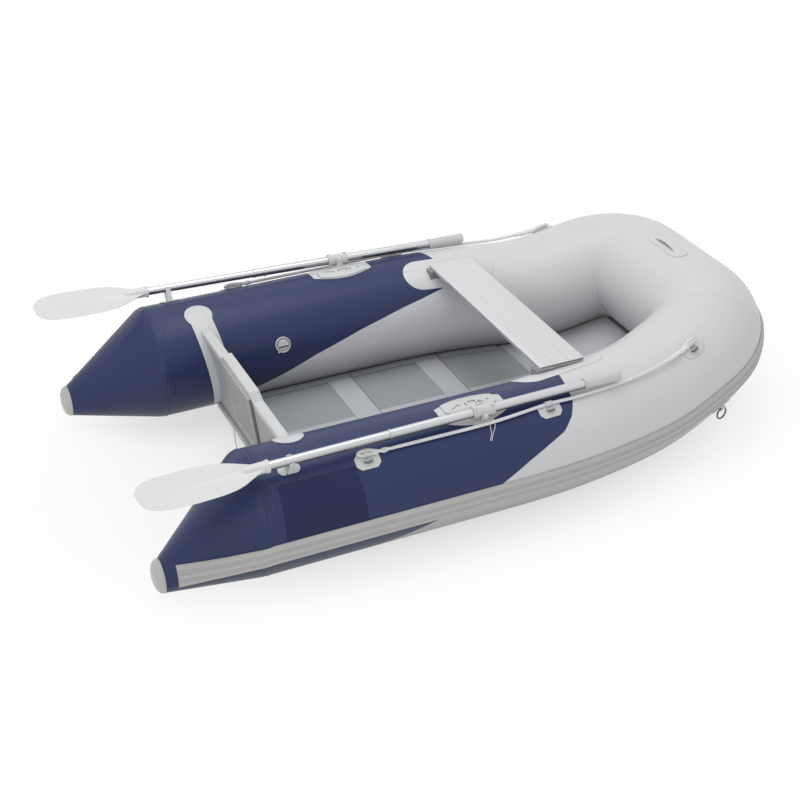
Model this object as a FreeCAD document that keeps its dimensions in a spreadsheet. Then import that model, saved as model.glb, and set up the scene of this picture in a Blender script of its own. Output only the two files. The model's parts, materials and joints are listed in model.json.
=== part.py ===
import FreeCAD, Part
import Sketcher
import math
import os

# Inflatable rowing tender: two side tubes closed by a bow tube, stern cones, a
# transom, a boarded floor, one thwart and a pair of two-piece oars that lie in
# snap clips along the tubes and swing out on their rowlocks.
# Frame: +X to the bow, +Y to port, +Z up, millimetres. The origin is on the
# ground in the middle of the whole outline.

Vector = FreeCAD.Vector
Rotation = FreeCAD.Rotation
Placement = FreeCAD.Placement

doc = FreeCAD.newDocument("tender")
sheet = doc.addObject("Spreadsheet::Sheet", "Sizes")

# Driving dimensions: name, value, what it is
SIZES = [
    # Air tubes
    ("tube_radius", 186, "radius of side and bow tubes"),
    ("cockpit_half_width", 287, "keel plane to the inner side of a side tube"),
    ("cone_station", -776, "where the side tubes end and the stern cones begin"),
    ("cone_length", 288, "side tube end to end cap"),
    ("cone_shoulder_share", 0.1, "share of the cone in which it bends in from the tube"),
    ("cone_tip_radius", 50, "stern cone at its end cap"),
    ("cone_tip_splay", 42, "end cap centre outboard of the tube's centreline"),
    ("cone_tip_lift", 33.5, "underside of the cone's end above the ground"),
    ("cone_cap_length", 25, "moulded end cap"),
    ("cone_cap_lip_height", 0.8, "end cap rim proud of the cone"),
    ("closing_station", 249, "where the side tubes start to close in"),
    ("closing_angle", 12.6, "degrees, side tubes closing in"),
    ("closing_radius", 2000, "bend there"),
    ("sheer_station", 590, "where the tubes start to rise"),
    ("sheer_angle", 17.7, "degrees, rise of the bow"),
    ("sheer_radius", 700, "bend there"),
    ("bow_rise_length", 360, "rising length ahead of the sheer station"),
    ("corner_inner_radius", 14, "inner side of the bow corners"),
    ("fit_gap", 0.3, "between mating pieces"),
    # Rubbing strake
    ("strake_thickness", 4, "strake web"),
    ("strake_rib", 4.5, "rib height on the web"),
    ("strake_width", 71, "strake band across"),
    ("strake_angle", -8.4, "degrees, strake middle above the tube's outer side"),
    ("strake_tip_angle", 12.2, "degrees, strake middle at the cone tip"),
    ("strake_tip_width", 69, "strake band at the cone tip"),
    ("strake_tip_gap", 32, "strake end short of the end cap"),
    # Floor
    ("floor_height", 50, "top of the floorboards"),
    ("board_thickness", 12, "floorboards"),
    ("fabric_thickness", 3, "bottom fabric"),
    ("board_gap", 4, "floorboard edge to tube"),
    ("joiner_one", -217.5, "aft edge of the first joiner"),
    ("joiner_two", 114, "aft edge of the second joiner"),
    ("joiner_three", 445, "aft edge of the third joiner"),
    ("joiner_width", 86, "joiner along the boat"),
    ("joiner_proud", 2, "joiner above the boards"),
    ("bow_board_length", 245, "rising board ahead of the sheer station"),
    ("fabric_reach", 330, "bottom fabric ahead of the sheer station"),
    ("bow_board_nose", 60, "corner cut of the rising board"),
    ("rail_width", 26, "side rail of the floor"),
    ("rail_height", 7, "side rail above the boards"),
    ("rail_end", 420, "forward end of the side rails"),
    # Transom
    ("transom_station", -592, "aft face of the transom at its foot"),
    ("transom_thickness", 26, "transom board"),
    ("transom_foot_height", 30, "lower edge above the ground"),
    ("transom_drop", 38, "top edge below the tubes' crowns"),
    ("transom_rake", 8.8, "degrees, top leaning aft"),
    ("transom_crown", 25, "raised middle above the top edge"),
    ("transom_crown_width", 250, "raised middle across"),
    ("transom_shoulder", 22, "slope from the raised middle"),
    ("cap_depth", 22, "transom cap down the board"),
    ("cap_wall", 2.5, "transom cap"),
    ("motor_pad_width", 240, "ribbed pad across its top"),
    ("motor_pad_foot_width", 190, "ribbed pad across its foot"),
    ("motor_pad_height", 214, "ribbed pad up the transom"),
    ("motor_pad_thickness", 9, "ribbed pad"),
    ("motor_pad_margin", 16, "flat frame round the ribs"),
    ("motor_pad_rib_pitch", 13, "rib spacing"),
    ("motor_pad_rib_depth", 2.5, "groove depth"),
    ("flange_thickness", 3, "transom flange on the tube"),
    ("flange_width", 74, "flange strip along the tube"),
    ("flange_tab_radius", 46, "round tab at the tube's crown"),
    ("flange_tab_reach", 53, "tab centre above the transom's corner, round the tube"),
    ("flange_foot_reach", 42, "flange foot above the transom's foot, round the tube"),
    ("sill_height", 26, "strip along the transom foot"),
    ("sill_thickness", 8, "strip along the transom foot"),
    ("drain_radius", 13, "drain plug"),
    ("drain_length", 12, "drain plug"),
    ("drain_offset", 235, "drain plug to starboard of the keel plane"),
    ("drain_lift", 7.5, "drain plug above the sill"),
    # Thwart
    ("seat_station", 281, "middle of the thwart"),
    ("seat_width", 156, "thwart fore and aft"),
    ("seat_lap", 102, "thwart's end outboard of the tube's inner side"),
    ("seat_lift", 9.2, "thwart's end above the tube"),
    ("seat_thickness", 11, "thwart plank"),
    ("seat_groove_width", 4, "groove along the plank"),
    ("seat_groove_depth", 1.6, "groove along the plank"),
    ("seat_groove_count", 5, "grooves along the plank"),
    ("seat_patch_thickness", 1.2, "reinforcing patch under the thwart's end"),
    ("seat_patch_length", 330, "patch along the tube"),
    ("seat_patch_width", 126, "patch round the tube"),
    ("seat_patch_angle", 117, "degrees, patch middle round the tube"),
    ("seat_hook_length", 44, "seat end hook along the tube"),
    ("seat_hook_width", 34, "seat end hook across"),
    # Rowlocks
    ("rowlock_station", -77.5, "rowlock pin along the boat"),
    ("rowlock_lean", 20, "degrees, pin leaning outboard"),
    ("oar_height", 29, "oar axis above the tube at the rowlock"),
    ("base_length", 214, "skirt of the rowlock base along the tube"),
    ("base_width", 120, "skirt of the rowlock base round the tube"),
    ("base_end_width", 66, "skirt width at its ends"),
    ("base_skirt_thickness", 2.5, "skirt thickness"),
    ("base_setback", 12, "middle of the skirt aft of the pin"),
    ("base_offset", 38, "middle of the skirt inboard of the pin, round the tube"),
    ("hump_length", 168, "raised pad on the skirt along the tube"),
    ("hump_width", 74, "raised pad on the skirt round the tube"),
    ("hump_end_width", 40, "raised pad at its ends"),
    ("hump_offset", 59, "middle of the raised pad inboard of the pin, round the tube"),
    ("hump_thickness", 7, "raised pad above the tube"),
    ("base_block_length", 60, "top of the raised block along the tube"),
    ("base_block_outer_width", 25, "raised block outboard of the pin"),
    ("base_block_inner_width", 30, "raised block inboard of the pin"),
    ("base_block_height", 6, "raised block above the tube"),
    ("base_block_taper", 36, "degrees, slope of the block's sides"),
    ("window_width", 25, "square window in the raised pad"),
    ("window_depth", 4.5, "square window in the raised pad"),
    ("window_offset", 57, "middle of the window inboard of the pin, round the tube"),
    ("slot_length", 13, "slots beside the window, round the tube"),
    ("slot_width", 4, "slots beside the window"),
    ("slot_distance", 22, "slots from the middle of the window"),
    ("slot_depth", 3, "slots beside the window"),
    ("peephole_width", 7, "square hole ahead of the window"),
    ("peephole_distance", 50, "square hole ahead of the middle of the window"),
    ("drop_length", 34, "teardrop hollow aft of the window"),
    ("drop_radius", 7, "round end of the teardrop hollow"),
    ("drop_distance", 46, "round end of the hollow aft of the middle of the window"),
    ("drop_turn", 24, "degrees, hollow turned from the tube's line"),
    ("swivel_radius", 19, "turntable of the rowlock"),
    ("swivel_recess_depth", 3.4, "turntable sunk in the block"),
    ("swivel_top_height", 9.6, "turntable face above the tube"),
    ("swivel_gap", 0.5, "turntable to its recess"),
    ("ear_thickness", 4, "ear of the swivel fork"),
    ("ear_width", 20, "ear along the oar"),
    ("ear_rise", 9, "ear above the bolt"),
    ("bolt_radius", 4, "cross bolt"),
    ("bolt_head_radius", 8, "cross bolt head"),
    ("bolt_head_length", 7, "cross bolt head"),
    ("collar_radius", 18, "oar collar outside"),
    ("collar_length", 70, "oar collar along the oar"),
    ("collar_flange_height", 1.2, "rim at each end of the collar"),
    ("collar_flange_length", 6, "rim at each end of the collar"),
    ("collar_tab_length", 11, "tab on top of the collar's ends"),
    ("collar_tab_width", 9, "tab on top of the collar's ends"),
    ("collar_tab_height", 3, "tab above the collar"),
    # Oars
    ("oar_toe", 2.0, "degrees, grip nearer the keel plane than the blade"),
    ("oar_drop", 0.8, "degrees, grip lower than the blade"),
    ("shaft_radius", 14, "forward shaft"),
    ("outer_shaft_radius", 13, "aft shaft"),
    ("shaft_joint", 305, "shaft joint aft of the rowlock"),
    ("shaft_overlap", 60, "aft shaft inside the forward one"),
    ("joint_ring_length", 5, "ring at the shaft joint"),
    ("joint_ring_proud", 1.2, "ring at the shaft joint"),
    ("button_radius", 3.5, "snap button"),
    ("button_inset", 40, "snap button ahead of the joint"),
    ("button_proud", 3, "snap button"),
    ("blade_length", 376, "blade with its socket"),
    ("blade_width", 176, "blade at its widest"),
    ("blade_turn", 22, "degrees, blade turned back to level on the leaning oar"),
    ("blade_thickness", 6, "blade sheet"),
    ("blade_neck_length", 62, "socket of the blade"),
    ("blade_neck_radius", 17, "socket of the blade"),
    ("blade_spine_length", 230, "tapering spine on the blade"),
    ("grip_start", 347, "grip ahead of the rowlock"),
    ("grip_length", 131, "grip"),
    ("grip_radius", 16, "grip"),
    ("grip_flare_height", 1.5, "swell at the grip's ends"),
    ("clip_setback", 91.5, "oar clip ahead of the stern cone"),
    ("clip_inset", 67, "oar clip ahead of the blade socket"),
    ("clip_wall", 3, "clip prong"),
    ("clip_length", 16, "clip along the oar"),
    ("clip_rise", 5, "prong above the oar axis"),
    ("clip_gap", 0.6, "clip to shaft"),
    ("clip_pad_length", 66, "clip pad along the tube"),
    ("clip_pad_width", 34, "clip pad across"),
    ("clip_pad_thickness", 2.5, "clip pad"),
    # Lifelines
    ("rope_radius", 4.5, "lifeline rope"),
    ("rope_aft_angle", 60, "degrees, rope round the tube at its aft anchor"),
    ("rope_rowlock_angle", 59.5, "degrees, rope under the rowlock"),
    ("rope_middle_angle", 63.5, "degrees, rope at its middle anchor"),
    ("rope_waist_angle", 59.5, "degrees, rope between its middle and forward anchors"),
    ("rope_forward_angle", 59.7, "degrees, rope at its forward anchor"),
    ("rope_bridge_lift", 6, "rope clear of the tube over the sheer bend"),
    ("rope_bend_share", 0.3, "share of a run that a bend of the rope takes"),
    ("splice_radius", 6, "spliced ends of the rope"),
    ("splice_length", 72, "spliced ends of the rope"),
    ("anchor_aft", -458, "aft rope anchor along the boat"),
    ("anchor_middle", 133, "middle rope anchor"),
    ("anchor_forward", 722, "forward rope anchor"),
    ("anchor_pad_length", 76, "rope anchor pad along the tube"),
    ("anchor_pad_width", 50, "rope anchor pad round the tube"),
    ("anchor_pad_thickness", 2.5, "rope anchor pad"),
    ("anchor_pad_cut", 13, "corner cut of a rope anchor pad"),
    ("anchor_rope_offset", 16, "rope above the middle of an anchor pad, round the tube"),
    ("anchor_hoop_length", 24, "hoop over the rope"),
    ("anchor_hoop_wall", 2.4, "hoop over the rope"),
    ("anchor_hoop_gap", 1.6, "hoop to rope"),
    ("anchor_foot_length", 40, "raised foot of the hoop along the tube"),
    ("anchor_foot_width", 34, "raised foot of the hoop round the tube"),
    ("anchor_foot_height", 2.2, "raised foot of the hoop above the pad"),
    # Strings
    ("drain_string_radius", 1.5, "string of the drain plug"),
    ("lanyard_radius", 1, "string tied to the starboard lifeline"),
    ("string_bend_share", 0.45, "share of a run that a bend of a string takes"),
    # Small fittings
    ("valve_station", -380, "valve along the boat"),
    ("valve_angle", 161, "degrees, valve round the tube"),
    ("valve_radius", 27, "valve flange"),
    ("valve_cap_radius", 21, "valve cap"),
    ("valve_height", 7, "valve cap above the tube"),
    ("valve_flange_thickness", 2.5, "valve flange thickness"),
    ("ring_station", 766, "tow ring along the boat"),
    ("ring_angle", -38, "degrees, tow ring round the tube"),
    ("ring_radius", 20, "tow ring centreline"),
    ("ring_wire_radius", 3, "tow ring wire radius"),
    ("ring_patch_length", 74, "tow ring patch"),
    ("ring_patch_width", 60, "tow ring patch"),
    ("ring_patch_thickness", 2, "tow ring patch"),
    ("ring_strap_length", 16, "strap that holds the tow ring"),
    ("handle_length", 190, "bow handle patch across the boat"),
    ("handle_width", 62, "bow handle patch"),
    ("handle_thickness", 2, "bow handle patch"),
    ("handle_angle", 78, "degrees, bow handle round the bow tube"),
    ("handle_bar_length", 130, "carrying loop"),
    ("handle_bar_width", 24, "carrying loop"),
    ("handle_bar_rise", 15, "carrying loop above the patch"),
    ("handle_bar_thickness", 4, "carrying loop"),
]
# Sizes worked out from those above
DERIVED = [
    ("tube_offset", "=cockpit_half_width + tube_radius", "centreline of a side tube from the keel plane"),
    ("cone_tip_offset", "=tube_offset + cone_tip_splay", "end cap centre from the keel plane"),
    ("cone_tip_height", "=cone_tip_radius + cone_tip_lift", "end cap centre above the ground"),
    ("transom_height", "=2 * tube_radius - transom_drop", "top edge of the transom above the ground"),
    ("seat_half_length", "=cockpit_half_width + seat_lap", "thwart from the keel plane to its end"),
    ("corner_radius", "=tube_radius + corner_inner_radius", "centreline radius at the bow corners"),
    ("clip_reach", "=rowlock_station - cone_station - clip_setback", "oar clip aft of the rowlock"),
    ("blade_socket", "=clip_reach + clip_inset", "blade socket aft of the rowlock"),
    ("blade_reach", "=blade_socket + blade_length", "blade tip aft of the rowlock"),
]
for row, (alias, value, words) in enumerate(SIZES + DERIVED, start=1):
    sheet.set("A%d" % row, words)
    sheet.set("B%d" % row, str(value))
    sheet.setAlias("B%d" % row, alias)
doc.recompute()


def size(name):
    """A cell of the sheet as a number."""
    return float(sheet.get(name))


def rad(name):
    """An angle of the sheet in radians."""
    return math.radians(size(name))


NODES = []


def add(kind, label, node=True):
    """A new document object; a node is one that is written out."""
    thing = doc.addObject(kind, label)
    thing.Label = label
    if node:
        NODES.append(thing)
    return thing


def bind(thing, **expressions):
    for prop, expression in expressions.items():
        thing.setExpression(prop.replace("__", "."), expression)
    return thing


def feature(label, shape, placement=None, node=True):
    """A piece whose form neither a primitive nor a sketch fits."""
    thing = add("Part::Feature", label, node)
    thing.Shape = shape
    if placement is not None:
        thing.Placement = placement
    return thing


def combine(kind, label, first, second, node=True):
    thing = add(kind, label, node)
    if kind in ("Part::Cut", "Part::Section"):
        thing.Base = first
        thing.Tool = second
    else:
        thing.Shapes = [first] + list(second)
    return thing


def mirrored(source, label):
    """The starboard twin of a port piece."""
    twin = add("Part::Mirroring", label)
    twin.Source = source
    twin.Base = Vector(0, 0, 0)
    twin.Normal = Vector(0, 1, 0)
    return twin


# Sketch helpers

def body(label, placement=None, node=True):
    piece = add("PartDesign::Body", label, node)
    if placement is not None:
        piece.Placement = placement
    return piece


def sketch(piece, name, role="XY_Plane"):
    plane = [part for part in piece.Origin.OriginFeatures if part.Role == role][0]
    drawing = piece.newObject("Sketcher::SketchObject", piece.Label + "_" + name)
    drawing.AttachmentSupport = [(plane, "")]
    drawing.MapMode = "FlatFace"
    return drawing


def pin(drawing, index, corner, horizontal, vertical):
    """Tie one point of a sketch to the origin with two bound dimensions."""
    for axis, expression, line in (("DistanceX", horizontal, -2), ("DistanceY", vertical, -1)):
        value = float(drawing.evalExpression(expression))
        if expression == "0":
            drawing.addConstraint(Sketcher.Constraint("PointOnObject", index, corner, line))
            continue
        if value < 0:
            number = drawing.addConstraint(Sketcher.Constraint(axis, index, corner, -1, 1, -value))
            drawing.setExpression("Constraints[%d]" % number, "-(%s)" % expression)
        else:
            number = drawing.addConstraint(Sketcher.Constraint(axis, -1, 1, index, corner, value))
            drawing.setExpression("Constraints[%d]" % number, expression)


def polygon(drawing, corners):
    """A closed outline whose corners are pairs of expressions."""
    points = []
    for horizontal, vertical in corners:
        points.append(Vector(float(drawing.evalExpression(horizontal)),
                             float(drawing.evalExpression(vertical)), 0))
    count = len(points)
    lines = []
    for step in range(count):
        lines.append(Part.LineSegment(points[step], points[(step + 1) % count]))
    first = drawing.addGeometry(lines, False)[0]
    for step in range(count):
        drawing.addConstraint(Sketcher.Constraint(
            "Coincident", first + step, 2, first + (step + 1) % count, 1))
    for step, (horizontal, vertical) in enumerate(corners):
        pin(drawing, first + step, 1, horizontal, vertical)


def pad(piece, drawing, length, name="pad", both=False, reverse=False):
    made = piece.newObject("PartDesign::Pad", piece.Label + "_" + name)
    made.Profile = drawing
    made.setExpression("Length", length)
    made.Midplane = both
    made.Reversed = reverse
    return made


def pocket(piece, drawing, length, name="pocket", both=False, reverse=False):
    made = piece.newObject("PartDesign::Pocket", piece.Label + "_" + name)
    made.Profile = drawing
    made.setExpression("Length", length)
    made.Midplane = both
    made.Reversed = reverse
    return made


def turned(piece, drawing, name="turned", axis="V_Axis"):
    """A revolution about an axis of its own sketch."""
    made = piece.newObject("PartDesign::Revolution", piece.Label + "_" + name)
    made.Profile = drawing
    made.ReferenceAxis = (drawing, [axis])
    made.Angle = 360
    return made


# The centreline of the tubes, port half: straight side, closing bend, rise and
# bow corner. Every fitting on a tube takes its place from this line.
RADIUS = size("tube_radius")
stern_end = Vector(size("cone_station"), size("tube_offset"), RADIUS)
closing_point = Vector(size("closing_station"), size("tube_offset"), RADIUS)
sheer_inset = (size("sheer_station") - size("closing_station")) * math.tan(rad("closing_angle"))
sheer_point = Vector(size("sheer_station"), size("tube_offset") - sheer_inset, RADIUS)
corner_point = sheer_point + Vector(math.cos(rad("sheer_angle")),
                                    -math.tan(rad("closing_angle")),
                                    math.sin(rad("sheer_angle"))) * size("bow_rise_length")
bow_middle = Vector(corner_point.x, 0, corner_point.z)


def rounded(points, radii):
    """Straight runs through the points, joined by tangent arcs of the given radii."""
    edges = []
    start = points[0]
    for before, corner, after, radius in zip(points, points[1:], points[2:], radii):
        back = (before - corner).normalize()
        ahead = (after - corner).normalize()
        half = back.getAngle(ahead) / 2
        reach = radius / math.tan(half)
        inward = (back + ahead).normalize()
        middle = corner + inward * (radius / math.sin(half) - radius)
        edges.append(Part.LineSegment(start, corner + back * reach).toShape())
        edges.append(Part.Arc(corner + back * reach, middle, corner + ahead * reach).toShape())
        start = corner + ahead * reach
    edges.append(Part.LineSegment(start, points[-1]).toShape())
    return edges


half_edges = rounded([stern_end, closing_point, sheer_point, corner_point, bow_middle],
                     [size("closing_radius"), size("sheer_radius"), size("corner_radius")])
corner_arc = half_edges[5]
arc_middle = (corner_arc.FirstParameter + corner_arc.LastParameter) / 2
corner_aft = corner_arc.Curve.toShape(corner_arc.FirstParameter, arc_middle)
corner_fore = corner_arc.Curve.toShape(arc_middle, corner_arc.LastParameter)
seam_point = corner_arc.valueAt(arc_middle)
seam_heading = corner_arc.tangentAt(arc_middle)


def across(edge):
    """An edge's image on the other side of the keel plane."""
    return edge.mirror(Vector(0, 0, 0), Vector(0, 1, 0))


side_line = feature("side_line", Part.Wire(half_edges[:5] + [corner_aft]), node=False)
half_line = feature("half_line", Part.Wire(half_edges), node=False)
bow_line = feature("bow_line", Part.Wire([
    corner_fore, half_edges[6], across(half_edges[6]), across(corner_fore)]), node=False)


def tube_centre(station):
    """Centre and heading of the port tube at a place along the boat."""
    for edge in half_edges[:6]:
        low, high = edge.FirstParameter, edge.LastParameter
        if not edge.valueAt(low).x - size("fit_gap") <= station <= edge.valueAt(high).x:
            continue
        for _ in range(50):
            middle = (low + high) / 2
            if edge.valueAt(middle).x < station:
                low = middle
            else:
                high = middle
        return edge.valueAt(low), edge.tangentAt(low)
    raise ValueError("no tube at this station")


def on_tube(station, angle, rise=0.0):
    """A seat on the port tube: X along the tube, Y down its outer side, Z out of its
    skin, angle in degrees from the outer side up over the crown, rise above the skin."""
    centre, heading = tube_centre(station)
    outboard = Vector(0, 0, 1).cross(heading).normalize()
    upward = heading.cross(outboard)
    turn = math.radians(angle)
    normal = outboard * math.cos(turn) + upward * math.sin(turn)
    side = normal.cross(heading)
    matrix = FreeCAD.Matrix(heading.x, side.x, normal.x, 0,
                            heading.y, side.y, normal.y, 0,
                            heading.z, side.z, normal.z, 0, 0, 0, 0, 1)
    place = Placement(matrix)
    place.Base = centre + normal * (RADIUS + rise)
    return place


def ring_face(radius, centre, heading, label):
    """A circle across a line, as a section for a sweep."""
    ring = add("Part::Circle", label, node=False)
    bind(ring, Radius=radius)
    ring.Placement = Placement(centre, Rotation(Vector(0, 0, 1), heading))
    return ring


def sweep(label, section, line, node=True):
    made = add("Part::Sweep", label, node)
    made.Sections = [section]
    made.Spine = (line, ["Edge%d" % (number + 1) for number in range(len(line.Shape.Edges))])
    made.Solid = True
    made.Frenet = False
    return made


rooms = {}


def tube_room(extra):
    """The port half of the tube ring grown by a margin, as a tool for what lies against it."""
    if extra not in rooms:
        number = len(rooms) + 1
        ring = ring_face("Sizes.tube_radius + " + extra, stern_end, Vector(1, 0, 0), "room_ring_%d" % number)
        rooms[extra] = sweep("tube_room_%d" % number, ring, half_line, node=False)
    return rooms[extra]


def both_rooms(extra):
    """The same tool on both sides of the boat."""
    port = tube_room(extra)
    starboard = add("Part::Mirroring", port.Label + "_starboard", node=False)
    starboard.Source = port
    starboard.Normal = Vector(0, 1, 0)
    return combine("Part::MultiFuse", port.Label + "_both", port, [starboard], node=False)


# Side tubes, bow tube, stern cones and their end caps

side_ring = ring_face("Sizes.tube_radius", stern_end, Vector(1, 0, 0), "side_ring")
side_tube = sweep("side_tube_port", side_ring, side_line)
mirrored(side_tube, "side_tube_starboard")

bow_ring = ring_face("Sizes.tube_radius", seam_point, seam_heading, "bow_ring")
sweep("bow_tube", bow_ring, bow_line)

tip_centre = Vector(size("cone_station") - size("cone_length"),
                    size("cone_tip_offset"), size("cone_tip_height"))
shoulder = size("cone_shoulder_share")
shoulder_shares = [shoulder * step / 4 for step in range(5)]


def narrowed(share):
    """How far a cone has closed in at a share of its length: bending in, then straight."""
    if share < shoulder:
        return share ** 2 / (2 - shoulder) / shoulder
    return (2 * share - shoulder) / (2 - shoulder)


def cone_centre(share):
    """The middle of the port cone at a share of its length."""
    done = narrowed(share)
    return Vector(stern_end.x + (tip_centre.x - stern_end.x) * share,
                  stern_end.y + (tip_centre.y - stern_end.y) * done,
                  stern_end.z + (tip_centre.z - stern_end.z) * done)


def cone_radius(share):
    return RADIUS + (size("cone_tip_radius") - RADIUS) * narrowed(share)


def cone_through(label, extra, node):
    """The port cone grown by a margin, through rings along its length."""
    rings = []
    for number, share in enumerate(shoulder_shares + [1], start=1):
        closing = "(Sizes.tube_radius - Sizes.cone_tip_radius) * %.9f" % narrowed(share)
        rings.append(ring_face("Sizes.tube_radius - %s + %s" % (closing, extra), cone_centre(share),
                               Vector(1, 0, 0), "%s_ring_%d" % (label, number)))
    cone = add("Part::Loft", label, node)
    cone.Sections = rings
    cone.Solid = True
    cone.Ruled = True
    return cone


stern_cone = cone_through("stern_cone_port", "0 * Sizes.fit_gap", True)
mirrored(stern_cone, "stern_cone_starboard")

end_cap = body("end_cap_port", Placement(tip_centre, Rotation(Vector(0, 1, 0), -90)))
cap_profile = sketch(end_cap, "profile", "XZ_Plane")
polygon(cap_profile, [
    ("0", "0"),
    ("Sizes.cone_tip_radius + Sizes.cone_cap_lip_height", "0"),
    ("Sizes.cone_tip_radius + Sizes.cone_cap_lip_height", "Sizes.cone_cap_length / 5"),
    ("Sizes.cone_tip_radius * 15 / 16", "Sizes.cone_cap_length / 2"),
    ("Sizes.cone_tip_radius * 13 / 16", "Sizes.cone_cap_length * 3 / 4"),
    ("Sizes.cone_tip_radius * 9 / 16", "Sizes.cone_cap_length * 15 / 16"),
    ("Sizes.cone_tip_radius / 4", "Sizes.cone_cap_length"),
    ("0", "Sizes.cone_cap_length")])
turned(end_cap, cap_profile)
mirrored(end_cap, "end_cap_starboard")

# Rubbing strake: a ribbed band round the outside of tube and cone


def band_outline(radius, width, middle, place):
    """The ribbed cross-section of the strake, seated on a circle of the given radius."""
    inner = radius + size("fit_gap")
    web = inner + size("strake_thickness")
    top = web + size("strake_rib")
    half = width / 2 / radius
    shares = [-1, -0.62, -0.54, -0.2, -0.12, 0.12, 0.2, 0.54, 0.62, 1]
    heights = [web, top, web, web, top, top, web, web, top, web]
    corners = []
    for share, height in zip(shares, heights):
        turn = math.radians(middle) + share * half
        corners.append(place.multVec(Vector(0, height * math.cos(turn), height * math.sin(turn))))
    for share in (1, 0, -1):
        turn = math.radians(middle) + share * half
        corners.append(place.multVec(Vector(0, inner * math.cos(turn), inner * math.sin(turn))))
    lines = []
    for first, second in zip(corners[:10], corners[1:10]):
        lines.append(Part.LineSegment(first, second).toShape())
    lines.append(Part.LineSegment(corners[9], corners[10]).toShape())
    lines.append(Part.Arc(corners[10], corners[11], corners[12]).toShape())
    lines.append(Part.LineSegment(corners[12], corners[0]).toShape())
    return Part.Wire(lines)


band_start = feature("band_start", band_outline(
    RADIUS, size("strake_width"), size("strake_angle"), Placement(stern_end, Rotation())), node=False)
band_run = sweep("strake_run", band_start, half_line, node=False)


def rim_point(centre, radius, angle):
    """A place on a ring across the boat, the angle in degrees from its outer side."""
    turn = math.radians(angle)
    return centre + Vector(0, radius * math.cos(turn), radius * math.sin(turn))


# On the cone the strake keeps to a straight line between its two ends
tip_share = 1 - size("strake_tip_gap") / size("cone_length")
tail_start = rim_point(stern_end, RADIUS, size("strake_angle"))
tail_end = rim_point(cone_centre(tip_share), cone_radius(tip_share), size("strake_tip_angle"))
tail_steps = 6
tail_shares = shoulder_shares[1:] + [
    shoulder + (tip_share - shoulder) * step / tail_steps for step in range(1, tail_steps + 1)]
tail_sections = [band_start]
for number, share in enumerate(tail_shares, start=1):
    done = share / tip_share
    way = tail_start + (tail_end - tail_start) * done - cone_centre(share)
    width = size("strake_width") + (size("strake_tip_width") - size("strake_width")) * done
    tail_sections.append(feature("band_tail_%d" % number, band_outline(
        cone_radius(share), width, math.degrees(math.atan2(way.z, way.y)),
        Placement(cone_centre(share), Rotation())), node=False))
band_tail = add("Part::Loft", "strake_tail", node=False)
band_tail.Sections = tail_sections
band_tail.Solid = True
band_tail.Ruled = True
band_raw = combine("Part::MultiFuse", "strake_raw", band_run, [band_tail], node=False)
cone_room = cone_through("cone_room", "Sizes.fit_gap", False)
strake = combine("Part::Cut", "strake_port", band_raw, cone_room)
mirrored(strake, "strake_starboard")

# Floor: bottom fabric, boards, joiners and side rails


def inner_skin(station, height):
    """From the keel plane to the tube's skin at a height beside the floor."""
    centre, _ = tube_centre(station)
    drop = centre.z - height
    return centre.y - math.sqrt(RADIUS ** 2 - drop ** 2)


def stations_between(aft, fore):
    """Even places along the boat, close enough for the tube's bends."""
    count = max(1, math.ceil((fore - aft) / size("tube_radius") * 2))
    return [aft + (fore - aft) * step / count for step in range(count + 1)]


def slab(label, edge, way, thickness):
    """A closed outline made into a board."""
    board_solid = add("Part::Extrusion", label, node=False)
    board_solid.Base = edge
    board_solid.DirMode = "Custom"
    board_solid.Dir = way
    bind(board_solid, LengthFwd=thickness)
    board_solid.Solid = True
    return board_solid


def level_slab(label, aft, fore, top, thickness):
    """A level board from tube centre to tube centre, to be cut back to the tubes."""
    port = [Vector(place, tube_centre(place)[0].y, top) for place in stations_between(aft, fore)]
    starboard = [Vector(point.x, -point.y, top) for point in reversed(port)]
    edge = feature(label + "_outline", Part.makePolygon(port + starboard + [port[0]]), node=False)
    return slab(label, edge, Vector(0, 0, -1), thickness)


def rising_slab(label, fold, top, reach, thickness):
    """The same beyond a fold, rising with the bow, its nose corners cut off."""
    slope = Rotation(Vector(0, 1, 0), -size("sheer_angle"))
    width = tube_centre(size("sheer_station"))[0].y
    closing = math.tan(rad("closing_angle"))
    cut = size("bow_board_nose")
    corners = [Vector(0, width, 0), Vector(reach - cut, width - (reach - cut) * closing, 0)]
    narrow = inner_skin(size("sheer_station"), size("floor_height")) - reach * closing
    corners.append(Vector(reach - cut, narrow + cut, 0))
    corners.append(Vector(reach, narrow, 0))
    corners += [Vector(point.x, -point.y, 0) for point in reversed(corners)]
    edge = feature(label + "_outline", Part.makePolygon(corners + [corners[0]]),
                   Placement(Vector(fold, 0, top), slope), node=False)
    return slab(label, edge, slope.multVec(Vector(0, 0, -1)), thickness)


floor_top = size("floor_height")
joiner = size("joiner_width")
joints = [size("joiner_one"), size("joiner_two"), size("joiner_three")]
transom_fore = size("transom_station") + size("transom_thickness")
board_room = both_rooms("Sizes.board_gap")
board_starts = [transom_fore + size("board_gap"), joints[0] + joiner, joints[1] + joiner]
for number, (aft, fore) in enumerate(zip(board_starts, joints), start=1):
    flat = level_slab("board_%d" % number, aft, fore - size("fit_gap"), floor_top, "Sizes.board_thickness")
    combine("Part::Cut", "floor_board_%d" % number, flat, board_room)

bands = []
for number, aft in enumerate(joints, start=1):
    bands.append(level_slab("joiner_band_%d" % number, aft, aft + joiner - size("fit_gap"),
                            floor_top + size("joiner_proud"),
                            "Sizes.board_thickness + Sizes.joiner_proud"))
joiner_bands = combine("Part::MultiFuse", "joiner_bands", bands[0], bands[1:], node=False)
combine("Part::Cut", "floor_joiners", joiner_bands, board_room)

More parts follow.
